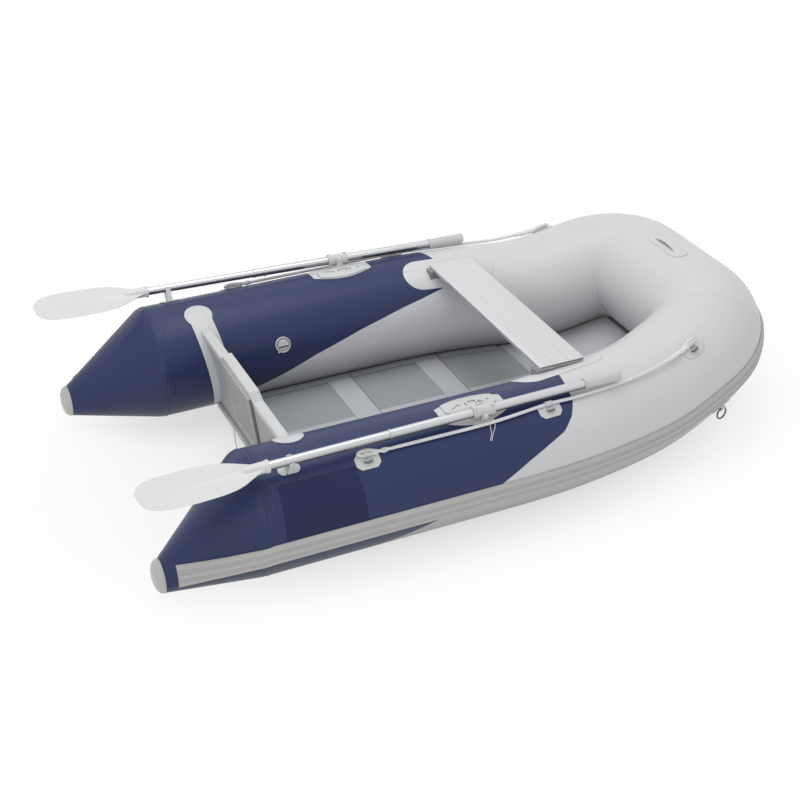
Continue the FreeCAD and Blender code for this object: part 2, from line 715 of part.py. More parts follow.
# The rising board ahead of the last joiner folds up at the sheer station
sheer = size("sheer_station")
fold_share = math.tan(rad("sheer_angle") / 2)
low = level_slab("bow_board_flat", joints[2] + joiner, sheer + size("board_thickness") * fold_share,
                 floor_top, "Sizes.board_thickness")
raised = rising_slab("bow_board_rise", sheer, floor_top, size("bow_board_length"), "Sizes.board_thickness")
bow_board = combine("Part::MultiFuse", "bow_board", low, [raised], node=False)
combine("Part::Cut", "floor_board_bow", bow_board, board_room)

# The bottom fabric closes the hull just under the boards
depth = size("board_thickness") + size("fit_gap")
fold = sheer + depth * fold_share
fabric_room = both_rooms("Sizes.fit_gap")
fabric_flat = level_slab("fabric_flat", transom_fore + size("fit_gap"),
                         fold + size("fabric_thickness") * fold_share, floor_top - depth,
                         "Sizes.fabric_thickness")
fabric_rise = rising_slab("fabric_rise", fold, floor_top - depth, size("fabric_reach"),
                          "Sizes.fabric_thickness")
bottom = combine("Part::MultiFuse", "bottom", fabric_flat, [fabric_rise], node=False)
combine("Part::Cut", "floor_fabric", bottom, fabric_room)

# Side rails along the foot of each tube
rail_aft = size("transom_station") + size("board_gap") \
    + (size("transom_thickness") + size("flange_width")) / 2
rail_top = floor_top + size("rail_height")
rails = []
for side, hand in ((1, "port"), (-1, "starboard")):
    places = stations_between(rail_aft, size("rail_end"))
    outer = [Vector(place, side * tube_centre(place)[0].y, rail_top) for place in places]
    inner = [Vector(place, side * (inner_skin(place, rail_top) - size("board_gap") - size("rail_width")),
                    rail_top) for place in reversed(places)]
    edge = feature("rail_outline_" + hand, Part.makePolygon(outer + inner + [outer[0]]), node=False)
    rails.append(slab("rail_" + hand, edge, Vector(0, 0, -1),
                      "Sizes.rail_height - Sizes.joiner_proud - Sizes.fit_gap"))
rail_pair = combine("Part::MultiFuse", "rail_pair", rails[0], rails[1:], node=False)
combine("Part::Cut", "floor_rails", rail_pair, board_room)

# Transom: board, ribbed motor pad, flanges on the tubes, sill and drain plug
transom_place = Placement(Vector(size("transom_station"), 0, size("transom_foot_height")),
                          Rotation(Vector(0, 1, 0), -size("transom_rake")))


both_cutters = both_rooms("Sizes.flange_thickness + 2 * Sizes.fit_gap")

panel = body("transom_panel", transom_place, node=False)
panel_outline = sketch(panel, "outline", "YZ_Plane")
top = "Sizes.transom_height - Sizes.transom_foot_height"
crown = "Sizes.transom_crown_width / 2"
shoulder = "(Sizes.transom_crown_width / 2 + Sizes.transom_shoulder)"
polygon(panel_outline, [
    ("-Sizes.tube_offset", "0"), ("Sizes.tube_offset", "0"), ("Sizes.tube_offset", top),
    (shoulder, top), (crown, top + " + Sizes.transom_crown"),
    ("-" + crown, top + " + Sizes.transom_crown"), ("-" + shoulder, top),
    ("-Sizes.tube_offset", top)])
pad(panel, panel_outline, "Sizes.transom_thickness", both=False)
combine("Part::Cut", "transom_board", panel, both_cutters)


# A channel over the transom's top edge
cap_rise = "(Sizes.cap_wall + Sizes.fit_gap)"
cap = body("transom_cap", transom_place.multiply(Placement(Vector(
    size("transom_thickness") / 2, 0, 0), Rotation())), node=False)
channel = sketch(cap, "outline", "YZ_Plane")
polygon(channel, [
    ("-Sizes.tube_offset", top + " - Sizes.cap_depth"), ("-" + shoulder, top + " - Sizes.cap_depth"),
    ("-" + crown, top + " + Sizes.transom_crown - Sizes.cap_depth"),
    (crown, top + " + Sizes.transom_crown - Sizes.cap_depth"), (shoulder, top + " - Sizes.cap_depth"),
    ("Sizes.tube_offset", top + " - Sizes.cap_depth"), ("Sizes.tube_offset", top + " + " + cap_rise),
    (shoulder, top + " + " + cap_rise), (crown, top + " + Sizes.transom_crown + " + cap_rise),
    ("-" + crown, top + " + Sizes.transom_crown + " + cap_rise), ("-" + shoulder, top + " + " + cap_rise),
    ("-Sizes.tube_offset", top + " + " + cap_rise)])
pad(cap, channel, "Sizes.transom_thickness + 2 * " + cap_rise, both=True)
doc.recompute()
slot = sketch(cap, "slot", "YZ_Plane")
polygon(slot, [
    ("-2 * Sizes.tube_offset", "0"), ("2 * Sizes.tube_offset", "0"),
    ("2 * Sizes.tube_offset", top + " + Sizes.fit_gap"), (shoulder, top + " + Sizes.fit_gap"),
    (crown, top + " + Sizes.transom_crown + Sizes.fit_gap"),
    ("-" + crown, top + " + Sizes.transom_crown + Sizes.fit_gap"),
    ("-" + shoulder, top + " + Sizes.fit_gap"),
    ("-2 * Sizes.tube_offset", top + " + Sizes.fit_gap")])
pocket(cap, slot, "Sizes.transom_thickness + 2 * Sizes.fit_gap", both=True)
combine("Part::Cut", "transom_top_cap", cap, both_cutters)

motor_pad = body("motor_pad", transom_place.multiply(Placement(Vector(
    -size("fit_gap"), 0, size("transom_height") - size("transom_foot_height") + size("transom_crown")
    - size("cap_depth") - size("fit_gap") - size("motor_pad_height")), Rotation())))
pad_outline = sketch(motor_pad, "outline", "YZ_Plane")
half_pad = "Sizes.motor_pad_width / 2"
half_foot = "Sizes.motor_pad_foot_width / 2"
polygon(pad_outline, [("-" + half_foot, "0"), (half_foot, "0"),
                      (half_pad, "Sizes.motor_pad_height"), ("-" + half_pad, "Sizes.motor_pad_height")])
pad(motor_pad, pad_outline, "Sizes.motor_pad_thickness", reverse=True)
doc.recompute()
groove = sketch(motor_pad, "groove", "XZ_Plane")
polygon(groove, [
    ("-Sizes.motor_pad_thickness - Sizes.fit_gap", "Sizes.motor_pad_margin"),
    ("Sizes.motor_pad_rib_depth - Sizes.motor_pad_thickness", "Sizes.motor_pad_margin"),
    ("Sizes.motor_pad_rib_depth - Sizes.motor_pad_thickness",
     "Sizes.motor_pad_margin + Sizes.motor_pad_rib_pitch / 2"),
    ("-Sizes.motor_pad_thickness - Sizes.fit_gap",
     "Sizes.motor_pad_margin + Sizes.motor_pad_rib_pitch / 2")])
first_groove = pocket(motor_pad, groove, "Sizes.motor_pad_foot_width - 2 * Sizes.motor_pad_margin",
                      both=True)
doc.recompute()
rib_run = size("motor_pad_height") - 2 * size("motor_pad_margin") - size("motor_pad_rib_pitch")
rib_count = int(rib_run // size("motor_pad_rib_pitch")) + 1
ribs = motor_pad.newObject("PartDesign::LinearPattern", "motor_pad_ribs")
ribs.Originals = [first_groove]
ribs.Direction = (groove, ["V_Axis"])
ribs.Occurrences = rib_count
ribs.Length = size("motor_pad_rib_pitch") * (rib_count - 1)
motor_pad.Tip = ribs


skins = {}


def skin(thickness):
    """A layer of the given thickness all over the port half of the tubes."""
    if thickness not in skins:
        skins[thickness] = combine("Part::Cut", "skin_%d" % (len(skins) + 1),
                                   tube_room("Sizes.fit_gap + " + thickness), tube_room("Sizes.fit_gap"),
                                   node=False)
    return skins[thickness]


def hugging(label, outline, station, angle, thickness, node=True):
    """A thin patch of the given outline, laid on the skin of the port tube."""
    seat = on_tube(station, angle, -RADIUS / 2)
    edge = feature(label + "_outline", outline, seat, node=False)
    prism = slab(label + "_prism", edge, seat.Rotation.multVec(Vector(0, 0, 1)), "Sizes.tube_radius")
    patch = add("Part::MultiCommon", label, node)
    patch.Shapes = [skin(thickness), prism]
    return patch


def leaf(length, width, end_width):
    """A leaf: bowed long sides, straight slanted ends."""
    half = length / 2
    near = half - width / 5
    outline = [
        Part.Arc(Vector(-near, width / 2 * 0.72, 0), Vector(0, width / 2, 0),
                 Vector(near, width / 2 * 0.72, 0)).toShape(),
        Part.LineSegment(Vector(near, width / 2 * 0.72, 0), Vector(half, end_width / 2, 0)).toShape(),
        Part.LineSegment(Vector(half, end_width / 2, 0), Vector(half, -end_width / 2, 0)).toShape(),
        Part.LineSegment(Vector(half, -end_width / 2, 0), Vector(near, -width / 2 * 0.72, 0)).toShape(),
        Part.Arc(Vector(near, -width / 2 * 0.72, 0), Vector(0, -width / 2, 0),
                 Vector(-near, -width / 2 * 0.72, 0)).toShape(),
        Part.LineSegment(Vector(-near, -width / 2 * 0.72, 0), Vector(-half, -end_width / 2, 0)).toShape(),
        Part.LineSegment(Vector(-half, -end_width / 2, 0), Vector(-half, end_width / 2, 0)).toShape(),
        Part.LineSegment(Vector(-half, end_width / 2, 0), Vector(-near, width / 2 * 0.72, 0)).toShape()]
    return Part.Wire(outline)


def oval(length, width):
    """A straight-sided patch with round ends."""
    radius = width / 2
    half = length / 2 - radius
    return Part.Wire([
        Part.LineSegment(Vector(-half, radius, 0), Vector(half, radius, 0)).toShape(),
        Part.Arc(Vector(half, radius, 0), Vector(half + radius, 0, 0), Vector(half, -radius, 0)).toShape(),
        Part.LineSegment(Vector(half, -radius, 0), Vector(-half, -radius, 0)).toShape(),
        Part.Arc(Vector(-half, -radius, 0), Vector(-half - radius, 0, 0),
                 Vector(-half, radius, 0)).toShape()])


def clipped(length, width, cut):
    """An oblong patch with its corners cut off."""
    half, side = length / 2, width / 2
    quarter = [Vector(half, side - cut, 0), Vector(half - cut, side, 0)]
    points = quarter + [Vector(-point.x, point.y, 0) for point in reversed(quarter)]
    points += [Vector(point.x, -point.y, 0) for point in reversed(points)]
    return Part.makePolygon(points + [points[0]])


def inner_angle(height):
    """Degrees round the tube to the place on its inner side at a height."""
    return 180 - math.degrees(math.asin((height - RADIUS) / RADIUS))


# Transom flange: a strip down the inner side of the tube under a round tab
transom_middle = size("transom_station") + size("transom_thickness") / 2
tab_place = transom_middle - size("transom_height") * math.sin(rad("transom_rake"))
tab_angle = inner_angle(size("transom_height")) - math.degrees(size("flange_tab_reach") / RADIUS)
foot_angle = inner_angle(size("transom_foot_height")) - math.degrees(size("flange_foot_reach") / RADIUS)
tab = hugging("flange_tab", Part.Wire(Part.makeCircle(size("flange_tab_radius"))), tab_place,
              tab_angle, "Sizes.flange_thickness", node=False)
sector = feature("flange_sector", Part.Face(Part.makePolygon([
    Vector(0, 0, 0)] + [
        Vector(0, 2 * RADIUS * math.cos(math.radians(turn)), 2 * RADIUS * math.sin(math.radians(turn)))
        for turn in (tab_angle, (tab_angle + foot_angle) / 2, foot_angle)] + [Vector(0, 0, 0)])),
    node=False)
raked = Rotation(Vector(0, 1, 0), -size("transom_rake"))
set_aft = (RADIUS - size("transom_foot_height")) * math.tan(rad("transom_rake"))
sector.Placement = Placement(Vector(transom_middle - size("flange_width") / 2 - set_aft,
                                    size("tube_offset"), RADIUS), raked)
wedge = slab("flange_wedge", sector, raked.multVec(Vector(1, 0, 0)), "Sizes.flange_width")
strip = add("Part::MultiCommon", "flange_band", node=False)
strip.Shapes = [skin("Sizes.flange_thickness"), wedge]
flange = combine("Part::MultiFuse", "transom_flange_port", tab, [strip])
mirrored(flange, "transom_flange_starboard")

sill_block = body("sill_block", transom_place.multiply(Placement(Vector(-size("fit_gap"), 0, 0),
                                                                 Rotation())), node=False)
sill_outline = sketch(sill_block, "outline", "YZ_Plane")
polygon(sill_outline, [("-Sizes.tube_offset", "0"), ("Sizes.tube_offset", "0"),
                       ("Sizes.tube_offset", "Sizes.sill_height"),
                       ("-Sizes.tube_offset", "Sizes.sill_height")])
pad(sill_block, sill_outline, "Sizes.sill_thickness", reverse=True)
combine("Part::Cut", "transom_sill", sill_block, both_cutters)

drain = body("drain_plug", transom_place.multiply(Placement(
    Vector(-size("fit_gap"), -size("drain_offset"), size("sill_height") + size("drain_radius")
           + size("drain_lift")), Rotation(Vector(0, 1, 0), -90))))
drain_outline = sketch(drain, "outline", "XZ_Plane")
polygon(drain_outline, [
    ("0", "0"), ("Sizes.drain_radius", "0"), ("Sizes.drain_radius", "Sizes.drain_length / 3"),
    ("Sizes.drain_radius * 2 / 3", "Sizes.drain_length / 3"),
    ("Sizes.drain_radius / 2", "Sizes.drain_length"), ("0", "Sizes.drain_length")])
turned(drain, drain_outline)

# Thwart: grooved plank, its end hooks and the patches under its ends
seat_centre, _ = tube_centre(size("seat_station"))


def crown_skin(offset):
    """The tube's skin abreast of the thwart, at an offset from the keel plane."""
    return seat_centre.z + math.sqrt(RADIUS ** 2 - (seat_centre.y - offset) ** 2)


seat_under = crown_skin(size("seat_half_length")) + size("seat_lift")
seat_plank = body("seat_plank", Placement(Vector(size("seat_station"), 0, seat_under), Rotation()))
plank_profile = sketch(seat_plank, "profile", "XZ_Plane")
corners = [("-Sizes.seat_width / 2", "0"), ("Sizes.seat_width / 2", "0"),
           ("Sizes.seat_width / 2", "Sizes.seat_thickness")]
groove_count = int(size("seat_groove_count"))
for number in range(groove_count, 0, -1):
    middle = "Sizes.seat_width * (%d / (Sizes.seat_groove_count + 1) - 1 / 2)" % number
    side = "Sizes.seat_groove_width / 2"
    floor_level = "Sizes.seat_thickness - Sizes.seat_groove_depth"
    corners.append((middle + " + " + side, "Sizes.seat_thickness"))
    corners.append((middle + " + " + side, floor_level))
    corners.append((middle + " - " + side, floor_level))
    corners.append((middle + " - " + side, "Sizes.seat_thickness"))
corners.append(("-Sizes.seat_width / 2", "Sizes.seat_thickness"))
polygon(plank_profile, corners)
pad(seat_plank, plank_profile, "2 * Sizes.seat_half_length", both=True)

seat_patch = hugging("seat_patch_port", oval(size("seat_patch_length"), size("seat_patch_width")),
                     size("seat_station"), size("seat_patch_angle"), "Sizes.seat_patch_thickness")
mirrored(seat_patch, "seat_patch_starboard")

hook_under = seat_under - size("fit_gap")
hook_inner = size("seat_half_length") - size("seat_hook_width")
hook_depth = hook_under - crown_skin(hook_inner) + size("seat_thickness")
hook_block = add("Part::Box", "seat_hook_block", node=False)
bind(hook_block, Length="Sizes.seat_hook_length", Width="Sizes.seat_hook_width")
hook_block.Height = hook_depth
hook_block.Placement = Placement(Vector(
    size("seat_station") - size("seat_width") / 2 - size("seat_hook_length") / 4,
    hook_inner, hook_under - hook_depth), Rotation())
seat_hook = combine("Part::Cut", "seat_hook_port", hook_block,
                    tube_room("Sizes.seat_patch_thickness + 2 * Sizes.fit_gap"))
mirrored(seat_hook, "seat_hook_starboard")

# Rowlock base: a leaf-shaped skirt on the tube and a raised block with the turntable
# recess, and a square window inboard of the collar
pin_angle = 90 - size("rowlock_lean")
pin_seat = on_tube(size("rowlock_station"), pin_angle)


def inboard(name):
    """The angle round the tube of a place inboard of the pin."""
    return pin_angle + math.degrees(size(name) / RADIUS)


skirt_station = size("rowlock_station") - size("base_setback")
skirt = hugging("rowlock_skirt", leaf(size("base_length"), size("base_width"), size("base_end_width")),
                skirt_station, inboard("base_offset"), "Sizes.base_skirt_thickness", node=False)
hump = hugging("rowlock_hump", leaf(size("hump_length"), size("hump_width"), size("hump_end_width")),
               skirt_station, inboard("hump_offset"), "Sizes.hump_thickness", node=False)
block_top = pin_seat.multiply(Placement(Vector(0, 0, size("base_block_height")), Rotation()))
base_block = body("rowlock_block", block_top, node=False)
block_plan = sketch(base_block, "plan", "XY_Plane")
half_block = "Sizes.base_block_length / 2"
polygon(block_plan, [
    ("-" + half_block, "-Sizes.base_block_inner_width"), (half_block, "-Sizes.base_block_inner_width"),
    (half_block, "Sizes.base_block_outer_width"), ("-" + half_block, "Sizes.base_block_outer_width")])
flank = pad(base_block, block_plan, "Sizes.base_block_height + Sizes.tube_radius / 8", reverse=True)
flank.setExpression("TaperAngle", "Sizes.base_block_taper")
base_raw = combine("Part::MultiFuse", "rowlock_raw", skirt, [hump, base_block], node=False)
recess = add("Part::Cylinder", "rowlock_recess", node=False)
bind(recess, Radius="Sizes.swivel_radius + Sizes.swivel_gap", Height="Sizes.oar_height")
recess.Placement = pin_seat.multiply(Placement(Vector(
    0, 0, size("base_block_height") - size("swivel_recess_depth")), Rotation()))
hump_top = on_tube(size("rowlock_station"), inboard("window_offset"), size("hump_thickness"))


def sunk_box(label, along, length, width, depth):
    """A square-cornered hollow in the raised pad, at a place along from its window."""
    box = add("Part::Box", label, node=False)
    bind(box, Length="Sizes." + length, Width="Sizes." + width, Height="2 * Sizes." + depth)
    box.Placement = hump_top.multiply(Placement(Vector(
        along - size(length) / 2, -size(width) / 2, -size(depth)), Rotation()))
    return box


hollows = [sunk_box("rowlock_window", 0, "window_width", "window_width", "window_depth")]
hollows.append(sunk_box("rowlock_peephole", size("peephole_distance"), "peephole_width",
                        "peephole_width", "slot_depth"))
for side, name in ((-1, "aft"), (1, "fore")):
    hollows.append(sunk_box("rowlock_slot_" + name, side * size("slot_distance"), "slot_width",
                            "slot_length", "slot_depth"))
# The hollow's point lies further aft and lower than its round end
drop = size("drop_radius")
drop_tail = size("drop_length") - drop
drop_turn = math.acos(drop / drop_tail)
drop_near = Vector(-drop * math.cos(drop_turn), drop * math.sin(drop_turn), 0)
drop_far = Vector(drop_near.x, -drop_near.y, 0)
drop_edge = feature("rowlock_drop_outline", Part.Wire([
    Part.Arc(drop_near, Vector(drop, 0, 0), drop_far).toShape(),
    Part.LineSegment(drop_far, Vector(-drop_tail, 0, 0)).toShape(),
    Part.LineSegment(Vector(-drop_tail, 0, 0), drop_near).toShape()]),
    hump_top.multiply(Placement(Vector(-size("drop_distance"), 0, -size("slot_depth")),
                                Rotation(Vector(0, 0, 1), -size("drop_turn")))), node=False)
hollows.append(slab("rowlock_drop", drop_edge, hump_top.Rotation.multVec(Vector(0, 0, 1)),
                    "2 * Sizes.slot_depth"))
base_tools = combine("Part::MultiFuse", "rowlock_tools", tube_room("Sizes.fit_gap"), [recess] + hollows,
                     node=False)
rowlock_base = combine("Part::Cut", "rowlock_base_port", base_raw, base_tools)
mirrored(rowlock_base, "rowlock_base_starboard")

# Swivel: a turntable with a fork of two ears, and the cross bolt through them
lift = size("oar_height")
oar_seat = pin_seat.multiply(Placement(Vector(0, 0, lift), Rotation()))
disc = add("Part::Cylinder", "swivel_disc", node=False)
bind(disc, Radius="Sizes.swivel_radius",
     Height="Sizes.swivel_top_height - Sizes.base_block_height + Sizes.swivel_recess_depth - Sizes.fit_gap")
disc.Placement = pin_seat.multiply(Placement(Vector(
    0, 0, size("base_block_height") - size("swivel_recess_depth") + size("fit_gap")), Rotation()))
ear_inner = size("collar_radius") + size("fit_gap")
ears = []
for side, name in ((1, "inboard"), (-1, "outboard")):
    ear = add("Part::Box", "swivel_ear_" + name, node=False)
    bind(ear, Length="Sizes.ear_width", Width="Sizes.ear_thickness",
         Height="Sizes.oar_height - Sizes.swivel_top_height + Sizes.ear_rise + Sizes.fit_gap")
    low_side = ear_inner if side > 0 else -ear_inner - size("ear_thickness")
    ear.Placement = pin_seat.multiply(Placement(Vector(
        -size("ear_width") / 2, low_side, size("swivel_top_height") - size("fit_gap")), Rotation()))
    ears.append(ear)
foot = add("Part::Box", "swivel_foot", node=False)
bind(foot, Length="Sizes.ear_width",
     Width="2 * (Sizes.collar_radius + Sizes.fit_gap + Sizes.ear_thickness)",
     Height="Sizes.swivel_top_height - Sizes.base_block_height - Sizes.fit_gap")
foot.Placement = pin_seat.multiply(Placement(Vector(
    -size("ear_width") / 2, -ear_inner - size("ear_thickness"),
    size("base_block_height") + size("fit_gap")), Rotation()))
fork = combine("Part::MultiFuse", "swivel_fork", disc, ears + [foot], node=False)
bolt_tool = add("Part::Cylinder", "bolt_tool", node=False)
bind(bolt_tool, Radius="Sizes.bolt_radius", Height="4 * Sizes.collar_radius")
bolt_axis = oar_seat.multiply(Placement(Vector(0, 2 * size("collar_radius"), 0),
                                        Rotation(Vector(1, 0, 0), 90)))
bolt_tool.Placement = bolt_axis
swivel = combine("Part::Cut", "rowlock_swivel_port", fork, bolt_tool)
mirrored(swivel, "rowlock_swivel_starboard")

bolt_half = size("collar_radius") + size("fit_gap") + size("ear_thickness")
bolt = body("rowlock_bolt_port", oar_seat.multiply(Placement(
    Vector(0, bolt_half + size("fit_gap"), 0), Rotation(Vector(1, 0, 0), 90))))
bolt_profile = sketch(bolt, "profile", "XZ_Plane")
shank = "2 * (Sizes.collar_radius + 2 * Sizes.fit_gap + Sizes.ear_thickness)"
polygon(bolt_profile, [
    ("0", "-Sizes.bolt_head_length"), ("Sizes.bolt_head_radius", "-Sizes.bolt_head_length"),
    ("Sizes.bolt_head_radius", "0"), ("Sizes.bolt_radius - Sizes.fit_gap / 6", "0"),
    ("Sizes.bolt_radius - Sizes.fit_gap / 6", shank), ("Sizes.bolt_head_radius", shank),
    ("Sizes.bolt_head_radius", shank + " + Sizes.bolt_head_length / 2"),
    ("Sizes.bolt_head_radius * 2 / 3", shank + " + Sizes.bolt_head_length"),
    ("0", shank + " + Sizes.bolt_head_length")])
turned(bolt, bolt_profile)
mirrored(bolt, "rowlock_bolt_starboard")

# Oar: X of its frame runs from the blade to the grip through the rowlock
oar_frame = Placement(oar_seat.Base, Rotation(
    Vector(math.cos(rad("oar_toe")) * math.cos(rad("oar_drop")),
           -math.sin(rad("oar_toe")) * math.cos(rad("oar_drop")), -math.sin(rad("oar_drop"))),
    oar_seat.Rotation.multVec(Vector(0, 1, 0)), oar_seat.Rotation.multVec(Vector(0, 0, 1)), "XZY"))


def along_oar(reach, turn=90):
    """A frame at a place along the oar whose Z points to the grip."""
    return oar_frame.multiply(Placement(Vector(reach, 0, 0), Rotation(Vector(0, 1, 0), turn)))


def round_bar(label, radius, length, place, node=False):
    bar = add("Part::Cylinder", label, node)
    bind(bar, Radius=radius, Height=length)
    bar.Placement = place
    return bar


collar_body = round_bar("collar_sleeve", "Sizes.collar_radius", "Sizes.collar_length",
                        along_oar(-size("collar_length") / 2))
rims = []
for side, name in ((-1, "aft"), (1, "fore")):
    middle = side * (size("collar_length") - size("collar_flange_length")) / 2
    rims.append(round_bar("collar_rim_" + name, "Sizes.collar_radius + Sizes.collar_flange_height",
                          "Sizes.collar_flange_length",
                          along_oar(middle - size("collar_flange_length") / 2)))
    tab_box = add("Part::Box", "collar_tab_" + name, node=False)
    bind(tab_box, Length="Sizes.collar_tab_length", Width="Sizes.collar_tab_width",
         Height="Sizes.collar_radius - Sizes.shaft_radius + Sizes.collar_tab_height")
    aft_end = (side * (size("collar_length") - size("collar_tab_length")) - size("collar_tab_length")) / 2
    tab_box.Placement = oar_frame.multiply(Placement(Vector(
        aft_end, -size("collar_tab_width") / 2, size("shaft_radius")), Rotation()))
    rims.append(tab_box)
collar_raw = combine("Part::MultiFuse", "collar_raw", collar_body, rims, node=False)
collar_bore = round_bar("collar_bore", "Sizes.shaft_radius + Sizes.fit_gap / 6", "2 * Sizes.collar_length",
                        along_oar(-size("collar_length")))
collar_tools = combine("Part::MultiFuse", "collar_tools", collar_bore, [bolt_tool], node=False)
collar = combine("Part::Cut", "oar_collar_port", collar_raw, collar_tools)
mirrored(collar, "oar_collar_starboard")

inner_length = "Sizes.shaft_joint + Sizes.grip_start + Sizes.grip_length / 2"
inner_bar = round_bar("inner_bar", "Sizes.shaft_radius", inner_length, along_oar(-size("shaft_joint")))
inner_ring = round_bar("inner_ring", "Sizes.shaft_radius + Sizes.joint_ring_proud",
                       "Sizes.joint_ring_length", along_oar(-size("shaft_joint")))
button = round_bar("snap_button", "Sizes.button_radius", "Sizes.shaft_radius + Sizes.button_proud",
                   oar_frame.multiply(Placement(Vector(size("button_inset") - size("shaft_joint"), 0, 0),
                                                Rotation(Vector(1, 0, 0), 180))))
inner_raw = combine("Part::MultiFuse", "inner_raw", inner_bar, [inner_ring, button], node=False)
inner_hollow = round_bar("inner_hollow", "Sizes.outer_shaft_radius + Sizes.fit_gap / 3",
                         "Sizes.shaft_overlap", along_oar(-size("shaft_joint")))
inner_tools = combine("Part::MultiFuse", "inner_tools", inner_hollow, [bolt_tool], node=False)
inner_shaft = combine("Part::Cut", "oar_shaft_fore_port", inner_raw, inner_tools)
mirrored(inner_shaft, "oar_shaft_fore_starboard")

outer_start = size("blade_socket") + size("blade_neck_length") / 2
outer_shaft = round_bar("oar_shaft_aft_port", "Sizes.outer_shaft_radius",
                        "Sizes.blade_socket + Sizes.blade_neck_length / 2 - Sizes.shaft_joint"
                        " + Sizes.shaft_overlap / 2", along_oar(-outer_start), node=True)
mirrored(outer_shaft, "oar_shaft_aft_starboard")

grip = body("oar_grip_port", along_oar(size("grip_start")))
grip_profile = sketch(grip, "profile", "XZ_Plane")
bore = "Sizes.shaft_radius + Sizes.fit_gap / 6"
polygon(grip_profile, [
    (bore, "0"), ("Sizes.grip_radius + Sizes.grip_flare_height", "0"),
    ("Sizes.grip_radius", "Sizes.grip_length / 12"), ("Sizes.grip_radius", "Sizes.grip_length * 5 / 6"),
    ("Sizes.grip_radius + Sizes.grip_flare_height", "Sizes.grip_length * 11 / 12"),
    ("Sizes.grip_radius", "Sizes.grip_length"), ("0", "Sizes.grip_length"),
    ("0", "Sizes.grip_length / 2 + Sizes.fit_gap"), (bore, "Sizes.grip_length / 2 + Sizes.fit_gap")])
turned(grip, grip_profile)
mirrored(grip, "oar_grip_starboard")

# Blade: a flat sheet with a tapering spine that grows out of its socket
neck = size("blade_neck_length")
root = size("blade_socket") + neck
tip = size("blade_reach")
wide = size("blade_width") / 2
neck_radius = size("blade_neck_radius")
blade_frame = oar_frame.multiply(Placement(Vector(0, 0, 0), Rotation(Vector(1, 0, 0), size("blade_turn"))))
# Shares of the blade's length from its socket, and of its half width
length_shares = [0.04, 0.11, 0.176, 0.242, 0.309, 0.415, 0.55, 0.68, 0.81, 0.9, 0.965]
width_shares = [0.19, 0.33, 0.53, 0.72, 0.86, 0.945, 0.985, 1, 0.965, 0.88, 0.64]
outline_points = []
for length_share, width_share in zip(length_shares, width_shares):
    outline_points.append(Vector(-size("blade_socket") - length_share * size("blade_length"),
                                 width_share * wide, 0))
upper = Part.BSplineCurve()
upper.interpolate(outline_points)
low_points = [Vector(point.x, -point.y, 0) for point in reversed(outline_points)]
lower = Part.BSplineCurve()
lower.interpolate(low_points)
tip_arc = Part.Arc(outline_points[-1], Vector(-tip, 0, 0), low_points[0])
blade_edge = feature("blade_outline", Part.Wire([
    upper.toShape(), tip_arc.toShape(), lower.toShape(),
    Part.LineSegment(low_points[-1], outline_points[0]).toShape()]),
    blade_frame.multiply(Placement(Vector(0, 0, -size("blade_thickness") / 2), Rotation())), node=False)
blade_sheet = slab("blade_sheet", blade_edge, blade_frame.Rotation.multVec(Vector(0, 0, 1)),
                   "Sizes.blade_thickness")
socket = round_bar("blade_socket_bar", "Sizes.blade_neck_radius", "Sizes.blade_neck_length",
                   along_oar(-root))
spine = add("Part::Cone", "blade_spine", node=False)
bind(spine, Radius1="Sizes.blade_thickness / 2", Radius2="Sizes.blade_neck_radius",
     Height="Sizes.blade_spine_length")
spine.Placement = along_oar(-root - size("blade_spine_length"))
blade_raw = combine("Part::MultiFuse", "blade_raw", blade_sheet, [socket, spine], node=False)
blade_bore = round_bar("blade_bore", "Sizes.outer_shaft_radius + Sizes.fit_gap / 6",
                       "Sizes.blade_neck_length + Sizes.fit_gap",
                       along_oar(-outer_start - size("fit_gap")))
blade = combine("Part::Cut", "oar_blade_port", blade_raw, blade_bore)
mirrored(blade, "oar_blade_starboard")

# Oar clip: a pad on the tube with two prongs that snap over the shaft
clip_frame = along_oar(-size("clip_reach"))
clip_centre = clip_frame.Base
tube_at_clip, _ = tube_centre(clip_centre.x)
clip_way = Vector(0, clip_centre.y - tube_at_clip.y, clip_centre.z - tube_at_clip.z)
clip_height = clip_way.Length - RADIUS
clip_angle = math.degrees(math.atan2(clip_way.z, clip_way.y))
clip_seat = on_tube(clip_centre.x, clip_angle)
clip_pad = hugging("clip_pad", oval(size("clip_pad_length"), size("clip_pad_width")), clip_centre.x,
                   clip_angle, "Sizes.clip_pad_thickness", node=False)
prong_block = add("Part::Box", "clip_block", node=False)
prong_half = size("outer_shaft_radius") + size("clip_gap") + size("clip_wall")
bind(prong_block, Length="Sizes.clip_length",
     Width="2 * (Sizes.outer_shaft_radius + Sizes.clip_gap + Sizes.clip_wall)")
prong_block.Height = clip_height + size("clip_rise") - size("clip_pad_thickness") / 2
prong_block.Placement = clip_seat.multiply(Placement(Vector(
    -size("clip_length") / 2, -prong_half, size("clip_pad_thickness") / 2), Rotation()))
clip_raw = combine("Part::MultiFuse", "clip_raw", clip_pad, [prong_block], node=False)
shaft_room = round_bar("clip_room", "Sizes.outer_shaft_radius + Sizes.clip_gap", "4 * Sizes.clip_length",
                       along_oar(-size("clip_reach") - 2 * size("clip_length")))
mouth = add("Part::Box", "clip_mouth", node=False)
bind(mouth, Length="2 * Sizes.clip_length",
     Width="2 * (Sizes.outer_shaft_radius + Sizes.clip_gap)", Height="4 * Sizes.clip_rise")
mouth.Placement = clip_seat.multiply(Placement(Vector(
    -size("clip_length"), -size("outer_shaft_radius") - size("clip_gap"), clip_height), Rotation()))
clip_tools = combine("Part::MultiFuse", "clip_tools", shaft_room, [mouth], node=False)
clip = combine("Part::Cut", "oar_clip_port", clip_raw, clip_tools)
mirrored(clip, "oar_clip_starboard")

